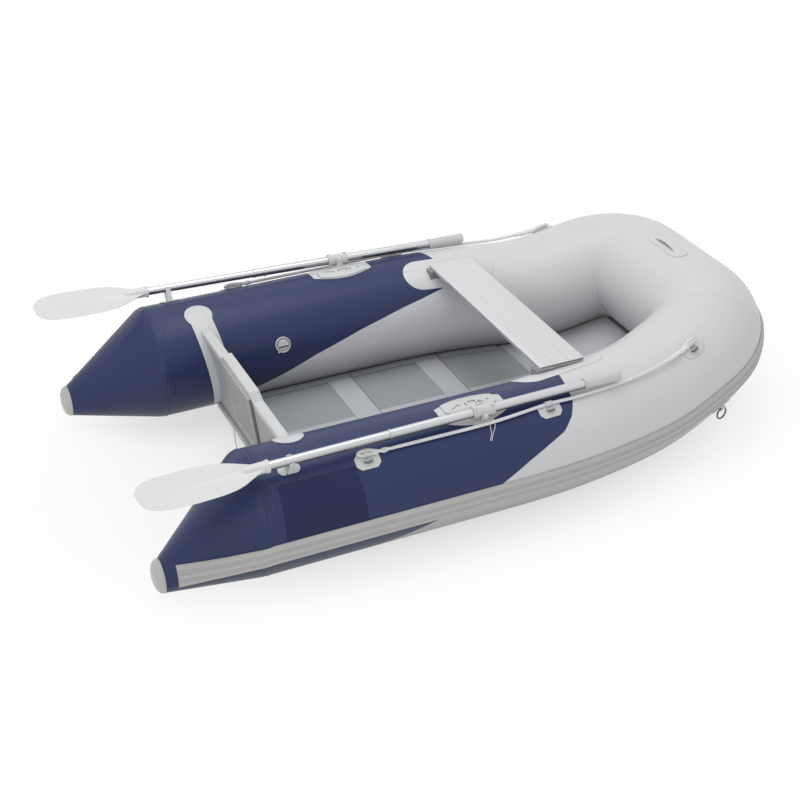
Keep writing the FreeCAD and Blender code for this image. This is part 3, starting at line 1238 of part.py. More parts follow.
# Lifeline: a taut rope along the tube from the aft anchor to the forward one. Each row
# is a station, an angle round the tube and what the rope clears the anchor pads by.
rope_rise = size("anchor_pad_thickness") + size("rope_radius") + 5 * size("fit_gap")
fore_run = size("anchor_forward") - size("anchor_middle")
rope_stops = [(size("anchor_aft"), size("rope_aft_angle")),
              (size("rowlock_station"), size("rope_rowlock_angle")),
              (size("anchor_middle"), size("rope_middle_angle"))]
aft_shares = (0, 0.2, 0.6)
middle_shares = (0, 0.5)
rope_rows = []
for (start, low), (stop, high), shares in zip(rope_stops, rope_stops[1:], (aft_shares, middle_shares)):
    for share in shares:
        rope_rows.append((start + share * (stop - start), low + share * (high - low), 0))
near_share, waist_share, bridge_share = 0.16, 0.45, 0.78
rope_rows += [
    (size("anchor_middle"), size("rope_middle_angle"), 0),
    (size("anchor_middle") + near_share * fore_run,
     (size("rope_middle_angle") + size("rope_waist_angle")) / 2, 0),
    (size("anchor_middle") + waist_share * fore_run, size("rope_waist_angle"), 0),
    (size("anchor_middle") + bridge_share * fore_run, size("rope_forward_angle"), size("rope_bridge_lift")),
    (size("anchor_forward"), size("rope_forward_angle"), 0)]
rope_points = [on_tube(station, angle, rope_rise + lift).Base for station, angle, lift in rope_rows]


def eased(points, share):
    """Radii that let each bend take a share of the shorter run beside it."""
    radii = []
    for before, corner, after in zip(points, points[1:], points[2:]):
        half = (corner - before).getAngle(after - corner) / 2
        radii.append(share * min((corner - before).Length, (after - corner).Length) / math.tan(half))
    return radii


def string(label, points, radius, share, node=True):
    """A round string along straight runs and the arcs between them."""
    radii = eased(points, size(share))
    line = feature(label + "_line", Part.Wire(rounded(points, radii)), node=False)
    ring = ring_face("Sizes." + radius, points[0], points[1] - points[0], label + "_ring")
    made = sweep(label, ring, line, node)
    return made, line, radii


rope, rope_line, _ = string("rope_run", rope_points, "rope_radius", "rope_bend_share", node=False)
splices = []
for name, start, onward in (("aft", rope_points[0], rope_points[1]),
                            ("fore", rope_points[-1], rope_points[-2])):
    way = (onward - start).normalize()
    splice = add("Part::Cylinder", "splice_" + name, node=False)
    bind(splice, Radius="Sizes.splice_radius", Height="Sizes.splice_length")
    splice.Placement = Placement(start + way * (size("anchor_pad_length") / 2 + size("fit_gap")),
                                 Rotation(Vector(0, 0, 1), way))
    splices.append(splice)
lifeline = combine("Part::MultiFuse", "lifeline_port", rope, splices)
mirrored(lifeline, "lifeline_starboard")

# Lifeline anchors: a pad with a raised foot and a hoop over the rope, three on each tube
hoop_bore = size("rope_radius") + size("anchor_hoop_gap")
hoop_radius = hoop_bore + size("anchor_hoop_wall")
anchors = []
for name in ("aft", "middle", "forward"):
    station = size("anchor_" + name)
    rope_angle = size("rope_" + name + "_angle")
    pad_angle = rope_angle - math.degrees(size("anchor_rope_offset") / RADIUS)
    anchor_pad = hugging("anchor_pad_" + name, clipped(
        size("anchor_pad_length"), size("anchor_pad_width"), size("anchor_pad_cut")),
        station, pad_angle, "Sizes.anchor_pad_thickness", node=False)
    foot = hugging("anchor_foot_" + name, oval(size("anchor_foot_length"), size("anchor_foot_width")),
                   station, (rope_angle + pad_angle) / 2,
                   "Sizes.anchor_pad_thickness + Sizes.anchor_foot_height", node=False)
    seat = on_tube(station, rope_angle)
    leg = add("Part::Box", "anchor_leg_" + name, node=False)
    bind(leg, Length="Sizes.anchor_hoop_length")
    leg.Width = 2 * hoop_radius
    leg.Height = rope_rise - size("anchor_pad_thickness") / 2
    leg.Placement = seat.multiply(Placement(Vector(
        -size("anchor_hoop_length") / 2, -hoop_radius, size("anchor_pad_thickness") / 2), Rotation()))
    across_way = Rotation(Vector(0, 1, 0), 90)
    hoop = add("Part::Cylinder", "anchor_hoop_" + name, node=False)
    bind(hoop, Height="Sizes.anchor_hoop_length")
    hoop.Radius = hoop_radius
    hoop.Placement = seat.multiply(Placement(
        Vector(-size("anchor_hoop_length") / 2, 0, rope_rise), across_way))
    raw = combine("Part::MultiFuse", "anchor_raw_" + name, anchor_pad, [foot, leg, hoop], node=False)
    eye = add("Part::Cylinder", "anchor_eye_" + name, node=False)
    bind(eye, Height="3 * Sizes.anchor_hoop_length")
    eye.Radius = hoop_bore
    eye.Placement = seat.multiply(Placement(
        Vector(-1.5 * size("anchor_hoop_length"), 0, rope_rise), across_way))
    anchors.append(combine("Part::Cut", "anchor_" + name, raw, eye, node=False))
rope_anchors = combine("Part::MultiFuse", "rope_anchors_port", anchors[0], anchors[1:])
mirrored(rope_anchors, "rope_anchors_starboard")

# String of the drain plug: from the transom's foot along the ground to the plug
DRAIN_ROUTE = [
    (-596.3, 212, 28.95), (-596.6, 211.5, 19), (-597, 208, 9), (-598.5, 200, 3), (-601.5, 188, 1.7),
    (-607, 170, 1.7), (-613.5, 148, 1.7), (-618, 118, 1.7), (-623, 86, 1.7), (-631, 48, 1.7),
    (-629, 2, 1.7), (-638, -48, 1.7), (-633, -100, 1.7), (-641, -146, 1.7), (-640, -188, 1.7),
    (-635, -212, 4.5), (-633, -228, 16), (-632, -234, 33), (-631.8, -236, 52), (-628.9, -235.3, 66.3),
    (-621.7, -235, 73.5), (-611.6, -235, 74.07)]
# String tied to the starboard lifeline beside the rowlock: down one side and up the other
LANYARD_ROUTE = [
    (-66, -575.8, 351.2), (-67.5, -579.9, 344.5), (-67.5, -584.7, 337.5), (-68.5, -591.1, 331.8),
    (-72.5, -597.1, 326.7), (-77.5, -601.9, 322.3), (-80.2, -605.2, 319.1), (-75.6, -606.8, 317.5),
    (-73.2, -603.1, 321.2), (-68.6, -597.8, 326.1), (-64, -592.1, 331), (-58, -586.3, 336.3),
    (-52, -581, 343.8), (-49, -575.8, 351.2)]
for label, route, radius in (("drain_string", DRAIN_ROUTE, "drain_string_radius"),
                             ("rowlock_lanyard", LANYARD_ROUTE, "lanyard_radius")):
    points = [Vector(*point) for point in route]
    made, line, radii = string(label, points, radius, "string_bend_share")
    doc.recompute()
    whole_volume = math.pi * size(radius) ** 2 * line.Shape.Length
    print("%s: length %.1f, volume share %.4f, bend radii %s" % (
        label, line.Shape.Length, made.Shape.Volume / whole_volume, ", ".join("%.1f" % r for r in radii)))

# Valve on the inner side of each tube
valve = body("valve_port", on_tube(size("valve_station"), size("valve_angle")), node=False)
valve_profile = sketch(valve, "profile", "XZ_Plane")
polygon(valve_profile, [
    ("0", "-Sizes.valve_height"), ("Sizes.valve_radius", "-Sizes.valve_height"),
    ("Sizes.valve_radius", "Sizes.valve_flange_thickness"),
    ("Sizes.valve_cap_radius", "Sizes.valve_flange_thickness"),
    ("Sizes.valve_cap_radius", "Sizes.valve_height"), ("0", "Sizes.valve_height")])
turned(valve, valve_profile)
valve_cut = combine("Part::Cut", "air_valve_port", valve, tube_room("Sizes.fit_gap"))
mirrored(valve_cut, "air_valve_starboard")

# Tow rings under the bow, each in a strap on a patch
ring_patch = hugging("ring_patch", oval(size("ring_patch_length"), size("ring_patch_width")),
                     size("ring_station"), size("ring_angle"), "Sizes.ring_patch_thickness", node=False)
ring_seat = on_tube(size("ring_station"), size("ring_angle"))
strap_height = size("ring_patch_thickness") + 2 * size("ring_wire_radius") + 4 * size("fit_gap") \
    + size("ring_patch_thickness")
strap = add("Part::Box", "ring_strap", node=False)
bind(strap, Length="Sizes.ring_strap_length", Width="Sizes.ring_radius")
strap.Height = strap_height
strap.Placement = ring_seat.multiply(Placement(Vector(
    -size("ring_strap_length") / 2, -size("ring_radius") / 2, size("ring_patch_thickness") / 2), Rotation()))
patch_raw = combine("Part::MultiFuse", "ring_patch_raw", ring_patch, [strap], node=False)
ring_hang = ring_seat.multiply(Placement(Vector(
    0, 0, size("ring_patch_thickness") + size("ring_wire_radius") + 2 * size("fit_gap")), Rotation())).Base
ring_centre = Placement(ring_hang - Vector(0, 0, size("ring_radius")),
                        Rotation(Vector(0, 0, 1),
                                 tube_centre(size("ring_station"))[1].cross(Vector(0, 0, 1))))
ring_room = add("Part::Torus", "ring_room", node=False)
bind(ring_room, Radius1="Sizes.ring_radius", Radius2="Sizes.ring_wire_radius + Sizes.fit_gap")
ring_room.Placement = ring_centre
ring_patch_cut = combine("Part::Cut", "tow_patch_port", patch_raw, ring_room)
mirrored(ring_patch_cut, "tow_patch_starboard")
ring = add("Part::Torus", "tow_ring_port")
bind(ring, Radius1="Sizes.ring_radius", Radius2="Sizes.ring_wire_radius")
ring.Placement = ring_centre
mirrored(ring, "tow_ring_starboard")

# Carrying handle on the bow tube
bow_angle = rad("handle_angle")
tilt = rad("sheer_angle")
bow_out = Vector(math.cos(tilt), 0, math.sin(tilt)) * math.cos(bow_angle) \
    + Vector(-math.sin(tilt), 0, math.cos(tilt)) * math.sin(bow_angle)
bow_along = Vector(0, 1, 0)
bow_side = bow_out.cross(bow_along)
bow_place = Placement(FreeCAD.Matrix(
    bow_along.x, bow_side.x, bow_out.x, 0, bow_along.y, bow_side.y, bow_out.y, 0,
    bow_along.z, bow_side.z, bow_out.z, 0, 0, 0, 0, 1))
bow_place.Base = bow_middle + bow_out * RADIUS
sleeves = []
for name, radius in (("outside", "Sizes.tube_radius + Sizes.fit_gap + Sizes.handle_thickness"),
                     ("inside", "Sizes.tube_radius + Sizes.fit_gap")):
    sleeve = add("Part::Cylinder", "handle_" + name, node=False)
    bind(sleeve, Radius=radius, Height="Sizes.handle_length")
    sleeve.Placement = Placement(bow_middle - bow_along * size("handle_length") / 2,
                                 Rotation(Vector(0, 0, 1), bow_along))
    sleeves.append(sleeve)
handle_sleeve = combine("Part::Cut", "handle_sleeve", sleeves[0], sleeves[1], node=False)
handle_edge = feature("handle_outline", oval(size("handle_length"), size("handle_width")),
                      bow_place.multiply(Placement(Vector(0, 0, -RADIUS / 2), Rotation())), node=False)
handle_prism = slab("handle_prism", handle_edge, bow_out, "Sizes.tube_radius")
handle_patch = add("Part::MultiCommon", "handle_patch", node=False)
handle_patch.Shapes = [handle_sleeve, handle_prism]
loop_half = size("handle_bar_length") / 2
loop_rise = size("handle_bar_rise")
loop_wall = size("handle_bar_thickness")
loop_foot = size("handle_thickness") / 2
loop_out = Part.Arc(Vector(-loop_half, 0, loop_foot), Vector(0, 0, loop_rise),
                    Vector(loop_half, 0, loop_foot))
loop_in = Part.Arc(Vector(loop_half - loop_wall * 2, 0, loop_foot), Vector(0, 0, loop_rise - loop_wall),
                   Vector(loop_wall * 2 - loop_half, 0, loop_foot))
loop_edge = feature("handle_loop_outline", Part.Wire([
    loop_out.toShape(), Part.LineSegment(loop_out.EndPoint, loop_in.StartPoint).toShape(),
    loop_in.toShape(), Part.LineSegment(loop_in.EndPoint, loop_out.StartPoint).toShape()]),
    bow_place.multiply(Placement(Vector(0, -size("handle_bar_width") / 2, 0), Rotation())), node=False)
loop_solid = slab("handle_loop", loop_edge, bow_side, "Sizes.handle_bar_width")
combine("Part::MultiFuse", "bow_handle", handle_patch, [loop_solid])

doc.recompute()

# Every object must have built, and every node must be a sound solid
failed = [thing.Label for thing in doc.Objects if "Invalid" in thing.State or "Error" in thing.State]
for node in NODES:
    if node.Shape.isNull() or not node.Shape.isValid() or not node.Shape.Solids:
        failed.append(node.Label)
if failed:
    raise RuntimeError("did not build: " + ", ".join(sorted(set(failed))))

os.makedirs("parts", exist_ok=True)
whole = FreeCAD.BoundBox()
for node in NODES:
    node.Shape.exportStep("parts/%s.step" % node.Label)
    whole.add(node.Shape.BoundBox)
print("nodes", len(NODES))
print("box", [round(value, 1) for value in (whole.XMin, whole.XMax, whole.YMin, whole.YMax,
                                            whole.ZMin, whole.ZMax)])
print("oar seat", [round(value, 2) for value in oar_seat.Base],
      [round(value, 4) for value in oar_seat.Rotation.multVec(Vector(0, 0, 1))])
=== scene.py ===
# %% [markdown]
# An inflatable rowing tender, dressed for a studio picture. The CAD model is
# the frame: it gives every size, and its nodes can be shown or replaced. This
# lesson loads it, sets the camera and the lights, lays the two loose strings,
# then rounds and refines the pieces that need softer forms than CAD gives, and
# paints everything.

# %% The frame
import bpy
import bmesh
import json
import math
from functools import partial
from mathutils import Matrix, Vector
from mathutils.bvhtree import BVHTree

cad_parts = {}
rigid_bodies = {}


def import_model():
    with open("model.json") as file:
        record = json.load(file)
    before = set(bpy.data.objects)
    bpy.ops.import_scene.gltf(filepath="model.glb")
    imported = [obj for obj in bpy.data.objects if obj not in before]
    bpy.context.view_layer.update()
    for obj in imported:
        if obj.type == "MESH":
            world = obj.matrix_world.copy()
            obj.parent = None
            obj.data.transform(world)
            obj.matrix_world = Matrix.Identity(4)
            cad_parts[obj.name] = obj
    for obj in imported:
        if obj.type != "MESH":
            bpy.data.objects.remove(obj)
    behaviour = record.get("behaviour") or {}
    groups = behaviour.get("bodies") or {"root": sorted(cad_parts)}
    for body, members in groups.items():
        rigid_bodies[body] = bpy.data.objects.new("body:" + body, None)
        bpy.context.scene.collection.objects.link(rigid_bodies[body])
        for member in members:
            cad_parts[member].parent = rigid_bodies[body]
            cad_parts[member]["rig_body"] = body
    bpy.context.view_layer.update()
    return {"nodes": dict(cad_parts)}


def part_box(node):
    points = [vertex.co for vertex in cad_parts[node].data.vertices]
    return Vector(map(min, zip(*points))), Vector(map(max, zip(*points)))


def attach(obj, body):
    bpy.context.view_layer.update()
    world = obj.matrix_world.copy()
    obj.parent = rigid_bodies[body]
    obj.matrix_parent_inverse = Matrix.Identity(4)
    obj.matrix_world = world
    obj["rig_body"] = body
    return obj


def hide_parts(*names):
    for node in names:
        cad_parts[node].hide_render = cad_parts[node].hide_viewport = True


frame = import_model()
nodes = frame["nodes"]

# %% [markdown]
# The camera stands where the photographer stood: off the boat's starboard
# quarter and well above it, with a long lens. Its direction is written as a
# compass turn and a dip, and to_track_quat makes a rotation of it.

# %% The camera
scene = bpy.context.scene
YAW, PITCH = math.radians(65.15), math.radians(31.57)
CAMERA_PLACE = (-1.8525, -3.808, 2.700)
LENS_LENGTH, SENSOR_WIDTH = 67.5, 36
lens = bpy.data.cameras.new("picture_camera")
lens.lens = LENS_LENGTH
lens.sensor_width = SENSOR_WIDTH
camera = bpy.data.objects.new("picture_camera", lens)
scene.collection.objects.link(camera)
camera.location = CAMERA_PLACE
forward = Vector((math.cos(YAW) * math.cos(PITCH), math.sin(YAW) * math.cos(PITCH), -math.sin(PITCH)))
camera.rotation_euler = forward.to_track_quat("-Z", "Y").to_euler()
scene.camera = camera
scene.view_settings.view_transform = "Standard"
print("camera looks along", [round(v, 2) for v in forward])

# %% [markdown]
# Two strings on the boat are loose: the drain plug's string, which hangs from
# the transom's foot and lies behind it, and the short lanyard that is tied
# round the near rowlock. Each is a NURBS curve through the route's own points.
# Such a curve is smooth by itself, and a bevel depth gives it a round section.

# %% The loose strings
DRAIN_ROUTE = [
    (-0.5963, 0.212, 0.02895), (-0.5966, 0.2115, 0.019), (-0.597, 0.208, 0.009), (-0.5985, 0.2, 0.003),
    (-0.6015, 0.188, 0.0017), (-0.607, 0.17, 0.0017), (-0.6135, 0.148, 0.0017), (-0.618, 0.118, 0.0017),
    (-0.623, 0.086, 0.0017), (-0.631, 0.048, 0.0017), (-0.629, 0.002, 0.0017), (-0.638, -0.048, 0.0017),
    (-0.633, -0.1, 0.0017), (-0.641, -0.146, 0.0017), (-0.64, -0.188, 0.0017), (-0.635, -0.212, 0.0045),
    (-0.633, -0.228, 0.016), (-0.632, -0.234, 0.033), (-0.6318, -0.236, 0.052),
    (-0.6289, -0.2353, 0.0663), (-0.6217, -0.235, 0.0735), (-0.6116, -0.235, 0.07407)]
LANYARD_ROUTE = [
    (-0.066, -0.5758, 0.3512), (-0.0675, -0.5799, 0.3445), (-0.0675, -0.5847, 0.3375),
    (-0.0685, -0.5911, 0.3318), (-0.0725, -0.5971, 0.3267), (-0.0775, -0.6019, 0.3223),
    (-0.0802, -0.6052, 0.3191), (-0.0756, -0.6068, 0.3175), (-0.0732, -0.6031, 0.3212),
    (-0.0686, -0.5978, 0.3261), (-0.064, -0.5921, 0.331), (-0.058, -0.5863, 0.3363),
    (-0.052, -0.581, 0.3438), (-0.049, -0.5758, 0.3512)]


def smooth_line(name, route, thickness=0.0):
    """A NURBS curve whose control points are the route."""
    curve = bpy.data.curves.new(name, "CURVE")
    curve.dimensions = "3D"
    spline = curve.splines.new("NURBS")
    spline.points.add(len(route) - 1)
    for point, place in zip(spline.points, route):
        point.co = (*place, 1)
        # A point's radius also widens the curve's box, so it carries the thickness itself
        point.radius = thickness / 2
    spline.order_u = 3
    spline.use_endpoint_u = True
    spline.resolution_u = 8
    if thickness:
        curve.bevel_depth = 1.0
        curve.bevel_resolution = 3
        curve.use_fill_caps = True
    line = bpy.data.objects.new(name, curve)
    scene.collection.objects.link(line)
    return line


drain_string = smooth_line("drain_string_line", DRAIN_ROUTE, 0.003)
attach(drain_string, "hull")
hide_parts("drain_string")
lanyard = smooth_line("rowlock_lanyard_line", LANYARD_ROUTE, 0.002)
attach(lanyard, "hull")
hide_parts("rowlock_lanyard")
print("strings", len(DRAIN_ROUTE), "and", len(LANYARD_ROUTE), "points")

# %% [markdown]
# Every surface, the floor's too, is a node tree that could be wired by hand in
# the shader editor. These helpers build the same graph in code: they put in a
# node and feed its inputs, do sums, mix two colours and split a vector.

# %% Helpers for shaders


def feed(tree, slot, value):
    """Link a socket to another node's output, or set its number or colour."""
    if isinstance(value, bpy.types.NodeSocket):
        tree.links.new(value, slot)
    else:
        slot.default_value = value


def add_node(tree, kind, **inputs):
    """A shader node with its inputs fed. In their names _ stands for a space."""
    node = tree.nodes.new("ShaderNode" + kind)
    for slot, value in inputs.items():
        feed(tree, node.inputs[slot.replace("_", " ")], value)
    return node


def math_node(tree, operation, *values):
    node = tree.nodes.new("ShaderNodeMath")
    node.operation = operation
    for slot, value in zip(node.inputs, values):
        feed(tree, slot, value)
    return node.outputs[0]


def ramp(tree, value, low, high, start=0.0, end=1.0, kind="LINEAR"):
    """A value mapped from one range to another and held at its ends."""
    node = add_node(tree, "MapRange", Value=value, From_Min=low, From_Max=high, To_Min=start, To_Max=end)
    node.interpolation_type = kind
    return node.outputs["Result"]


def mix_colours(tree, name, factor, first, second):
    """One colour passing into another; each is a triple or a node's output."""
    node = tree.nodes.new("ShaderNodeMix")
    node.data_type = "RGBA"
    node.name = name
    for slot, value in (("Factor", factor), ("A", first), ("B", second)):
        feed(tree, node.inputs[slot], (*value, 1) if isinstance(value, tuple) else value)
    return node.outputs["Result"]


def split(tree, vector):
    """The X, Y and Z of a vector."""
    return add_node(tree, "SeparateXYZ", Vector=vector).outputs


def object_place(tree):
    return split(tree, tree.nodes.new("ShaderNodeTexCoord").outputs["Object"])


def facing(tree):
    return split(tree, tree.nodes.new("ShaderNodeNewGeometry").outputs["Normal"])


def seen_directly(tree):
    """1 for the camera's rays and for those that mirrors and glass pass on."""
    rays = tree.nodes.new("ShaderNodeLightPath").outputs
    seen = rays["Is Camera Ray"]
    for kind in ("Is Glossy Ray", "Is Transmission Ray"):
        seen = math_node(tree, "MAXIMUM", seen, rays[kind])
    return seen


# %% [markdown]
# The picture was taken in a white studio. One big soft lamp above gives the
# broad light on the crowns of the tubes, a weaker one fills the near side, and
# the air of the studio lifts the shadows. The camera, and what mirrors show,
# see pure white behind the boat. The floor near the boat keeps the soft shadow,
# lightened by a painted glow that the camera sees, and further out it fades to
# the same white.

# %% Floor and lights
FLOOR_SHADE, AIR_LIGHT = 0.93, 0.62
# Near the boat the camera still sees this share of painted glow, which lightens the shadow
FADE_START, FADE_END, FADE_LEAST = 0.45, 1.0, 0.6

bpy.ops.object.select_all(action="DESELECT")
bpy.ops.mesh.primitive_plane_add(size=40, location=(0, 0, -0.002))
floor = bpy.context.object
floor.name = "studio_floor"
bpy.ops.object.transform_apply(location=True, rotation=True, scale=True)
paper = bpy.data.materials.new("studio_paper")
paper.use_nodes = True
tree = paper.node_tree
plain = tree.nodes["Principled BSDF"]
for slot, value in (("Base Color", (*[FLOOR_SHADE] * 3, 1)), ("Roughness", 1), ("Specular IOR Level", 0)):
    plain.inputs[slot].default_value = value
place = tree.nodes.new("ShaderNodeTexCoord")
squeezed = add_node(tree, "Mapping", Scale=(0.6, 1, 1), Vector=place.outputs["Object"])
distance = tree.nodes.new("ShaderNodeVectorMath")
distance.operation = "LENGTH"
tree.links.new(squeezed.outputs["Vector"], distance.inputs[0])
fade = ramp(tree, distance.outputs["Value"], FADE_START, FADE_END, FADE_LEAST, kind="SMOOTHSTEP")
share = math_node(tree, "MULTIPLY", fade, seen_directly(tree))
glow = add_node(tree, "Emission", Color=(1, 1, 1, 1), Strength=1)
both = tree.nodes.new("ShaderNodeMixShader")
for slot, value in zip(both.inputs, (share, plain.outputs[0], glow.outputs[0])):
    tree.links.new(value, slot)
tree.links.new(both.outputs[0], tree.nodes["Material Output"].inputs["Surface"])
floor.data.materials.append(paper)

world = bpy.data.worlds.new("studio_air")
scene.world = world
world.use_nodes = True
tree = world.node_tree
air = tree.nodes["Background"]
air.inputs["Color"].default_value = (1, 1, 1, 1)
tree.links.new(ramp(tree, seen_directly(tree), 0.0, 1.0, AIR_LIGHT), air.inputs["Strength"])


def lamp(name, place, aim, size, power):
    data = bpy.data.lights.new(name, "AREA")
    data.shape = "SQUARE"
    data.size = size
    data.energy = power
    obj = bpy.data.objects.new(name, data)
    scene.collection.objects.link(obj)
    obj.location = place
    obj.rotation_euler = (Vector(aim) - Vector(place)).to_track_quat("-Z", "Y").to_euler()


lamp("top_light", (-0.4, 0.5, 4.0), (0, 0, 0.2), 3.0, 62)
lamp("near_fill", (-2.5, -4.0, 2.5), (0, 0, 0.2), 2.5, 22)

# %% [markdown]
# Every picture needs a few small helpers. An operator works on what is
# selected, so one helper clears the selection, and another puts a single
# object in edit mode with some faces or vertices picked by a test.

# %% Helpers for modelling
SIDES = (("port", 1), ("starboard", -1))


def leave_edit():
    if bpy.context.object and bpy.context.object.mode != "OBJECT":
        bpy.ops.object.mode_set(mode="OBJECT")


def clear_selection():
    leave_edit()
    bpy.ops.object.select_all(action="DESELECT")


def only(obj):
    """Make one object the selected and active one."""
    clear_selection()
    obj.select_set(True)
    bpy.context.view_layer.objects.active = obj
    return obj


def new_shape(add, name, **settings):
    """Add a primitive with the operator that is given, and name it."""
    clear_selection()
    add(**settings)
    bpy.context.object.name = name
    return bpy.context.object


def apply_place():
    """Put the object's place, turn and size into its mesh."""
    bpy.ops.object.transform_apply(location=True, rotation=True, scale=True)


def pick(obj, kind, test):
    """In edit mode, select just the faces or vertices that pass a test."""
    if bpy.context.object is not obj or obj.mode != "EDIT":
        only(obj)
        bpy.ops.object.mode_set(mode="EDIT")
    bpy.ops.mesh.select_mode(type={"faces": "FACE", "verts": "VERT"}[kind])
    bpy.ops.mesh.select_all(action="DESELECT")
    mesh = bmesh.from_edit_mesh(obj.data)
    for element in getattr(mesh, kind):
        if test(element):
            element.select_set(True)
    mesh.select_flush_mode()
    bmesh.update_edit_mesh(obj.data)


def edit_all():
    """Enter edit mode with the whole mesh selected."""
    bpy.ops.object.mode_set(mode="EDIT")
    bpy.ops.mesh.select_all(action="SELECT")


def finish_shape(obj, name, smooth=40):
    """Apply the object's place in object mode and shade it by angle."""
    only(obj)
    apply_place()
    obj.name = name
    obj.data.name = name
    bpy.ops.object.shade_smooth_by_angle(angle=math.radians(smooth))
    return obj


def modifier(obj, kind, **settings):
    """Add one modifier and apply it at once."""
    only(obj)
    added = obj.modifiers.new(kind.lower(), kind)
    for key, value in settings.items():
        setattr(added, key, value)
    bpy.ops.object.modifier_apply(modifier=added.name)


def bevel(obj, width, angle=30, **settings):
    """Round the edges that turn by more than an angle."""
    modifier(obj, "BEVEL", width=width, limit_method="ANGLE", angle_limit=math.radians(angle), **settings)


# %% [markdown]
# The finishes come next. On the real boat almost everything is one of four
# families: coated fabric, moulded plastic, aluminium tube and braided rope.
# Each finish is a base colour, mottled a little by noise, and a fine bump, all
# on Object coordinates so that the pattern sits on the piece. A second helper
# lays one more colour over a finish where a factor says so.

# %% Helpers for finishes


def toned(colour, amount):
    return tuple(channel * amount for channel in colour)


def finish(name, colour, roughness, metallic=0.0, grain=(400.0, 0.02), mottle=(6.0, 0.05), sheen=0.0,
           stretch=(1.0, 1.0, 1.0), specular=0.5):
    """A material whose colour and roughness drift slightly and whose skin has a grain."""
    material = bpy.data.materials.new(name)
    material.use_nodes = True
    tree = material.node_tree
    coords = tree.nodes.new("ShaderNodeTexCoord")
    place = add_node(tree, "Mapping", Scale=stretch, Vector=coords.outputs["Object"]).outputs["Vector"]
    patches = add_node(tree, "TexNoise", Scale=mottle[0], Detail=3, Vector=place).outputs["Fac"]
    tint = mix_colours(tree, "tint", patches, toned(colour, 1 - mottle[1]), toned(colour, 1 + mottle[1]))
    gloss = ramp(tree, patches, 0.0, 1.0, roughness * 0.88, roughness * 1.12)
    grains = add_node(tree, "TexNoise", Scale=grain[0], Detail=2, Vector=place).outputs["Fac"]
    relief = add_node(tree, "Bump", Strength=grain[1], Distance=0.001, Height=grains)
    shader = tree.nodes["Principled BSDF"].inputs
    for slot, value in (("Base Color", tint), ("Roughness", gloss), ("Normal", relief.outputs["Normal"]),
                        ("Metallic", metallic), ("Sheen Weight", sheen), ("Specular IOR Level", specular)):
        feed(tree, shader[slot], value)
    return material


def shade_over(material, name, factor, shade):
    """Lay another colour over what a finish shows, as far as a factor says."""
    tree = material.node_tree
    base = tree.nodes["Principled BSDF"].inputs["Base Color"]
    tree.links.new(mix_colours(tree, name, factor, base.links[0].from_socket, shade), base)


def add_bump(material, height, depth, strength=1.0):
    """Lay one more relief over the grain that the finish already has."""
    tree = material.node_tree
    normal = tree.nodes["Principled BSDF"].inputs["Normal"]
    bump = add_node(tree, "Bump", Strength=strength, Distance=depth, Height=height,
                    Normal=normal.links[0].from_socket)
    tree.links.new(bump.outputs["Normal"], normal)


def paint(obj, material):
    obj.data.materials.clear()
    obj.data.materials.append(material)


NAVY = (0.024, 0.037, 0.110)
PALE = (0.665, 0.665, 0.68)

# %% [markdown]
# The two side tubes are navy aft and light grey forward. The joint between the
# colours is one line that runs round the tube: furthest forward over the crown,
# sweeping aft on both flanks. Splitting the mesh would need a clean loop of
# edges there, but a shader can draw the line exactly: it works out the angle
# round the tube from Object coordinates, looks up how far forward the navy
# reaches at that angle on a curve, and compares.

# %% The angle round the tube in a shader
CLOSING_START, CLOSING_RADIUS, CLOSING_SLOPE = 0.0282, 2.0, math.tan(math.radians(12.6))
CLOSING_END = CLOSING_START + CLOSING_RADIUS * math.sin(math.radians(12.6))
TUBE_RADIUS, TUBE_OFFSET = 0.186, 0.473


def tube_angle(tree):
    """Station and angle round the tube, 0 outboard and upward positive, in half turns."""
    calc = partial(math_node, tree)
    x, y, z = object_place(tree)
    ahead = calc("MAXIMUM", calc("SUBTRACT", x, CLOSING_START), 0.0)
    bent = calc("MINIMUM", ahead, CLOSING_END - CLOSING_START)
    drop = calc("DIVIDE", calc("MULTIPLY", bent, bent), 2 * CLOSING_RADIUS)
    straight = calc("MULTIPLY", calc("MAXIMUM", calc("SUBTRACT", x, CLOSING_END), 0.0), CLOSING_SLOPE)
    centre = calc("SUBTRACT", calc("SUBTRACT", TUBE_OFFSET, drop), straight)
    outboard = calc("SUBTRACT", calc("ABSOLUTE", y), centre)
    upward = calc("SUBTRACT", z, TUBE_RADIUS)
    return x, calc("DIVIDE", calc("ARCTAN2", upward, outboard), math.pi)


# %% [markdown]
# By the stern cones the cloth puckers: fine creases run round the tube there.
# Modelled creases would need a very fine mesh. A bump is enough for folds of a
# millimetre or so: a sine along the tube, shifted by noise so that no two folds
# are alike, which fades out on both sides of the joint.

# %% The creases
CREASES_AT, CREASES_HALF, CREASES_REACH = -0.772, 0.008, 0.030
CREASE_RATE, CREASE_DRIFT, CREASE_DEPTH = 480.0, 0.035, 0.0016


def add_creases(material, x):
    """Fine folds of the cloth on both sides of the joint with the stern cone."""
    tree = material.node_tree
    calc = partial(math_node, tree)
    place = tree.nodes.new("ShaderNodeTexCoord").outputs["Object"]
    drift = add_node(tree, "TexNoise", Scale=9, Vector=place).outputs["Fac"]
    patchy = add_node(tree, "TexNoise", Scale=5.5, Vector=place).outputs["Fac"]
    wave = calc("SINE", calc("MULTIPLY", calc("ADD", x, calc("MULTIPLY", drift, CREASE_DRIFT)), CREASE_RATE))
    away = calc("ABSOLUTE", calc("SUBTRACT", x, CREASES_AT))
    near = ramp(tree, away, CREASES_HALF, CREASES_REACH, 1.0, 0.0, "SMOOTHSTEP")
    uneven = ramp(tree, patchy, 0.38, 0.62)
    add_bump(material, calc("MULTIPLY", calc("MULTIPLY", wave, near), uneven), CREASE_DEPTH)


print("creases every", round(2000 * math.pi / CREASE_RATE, 1), "mm")

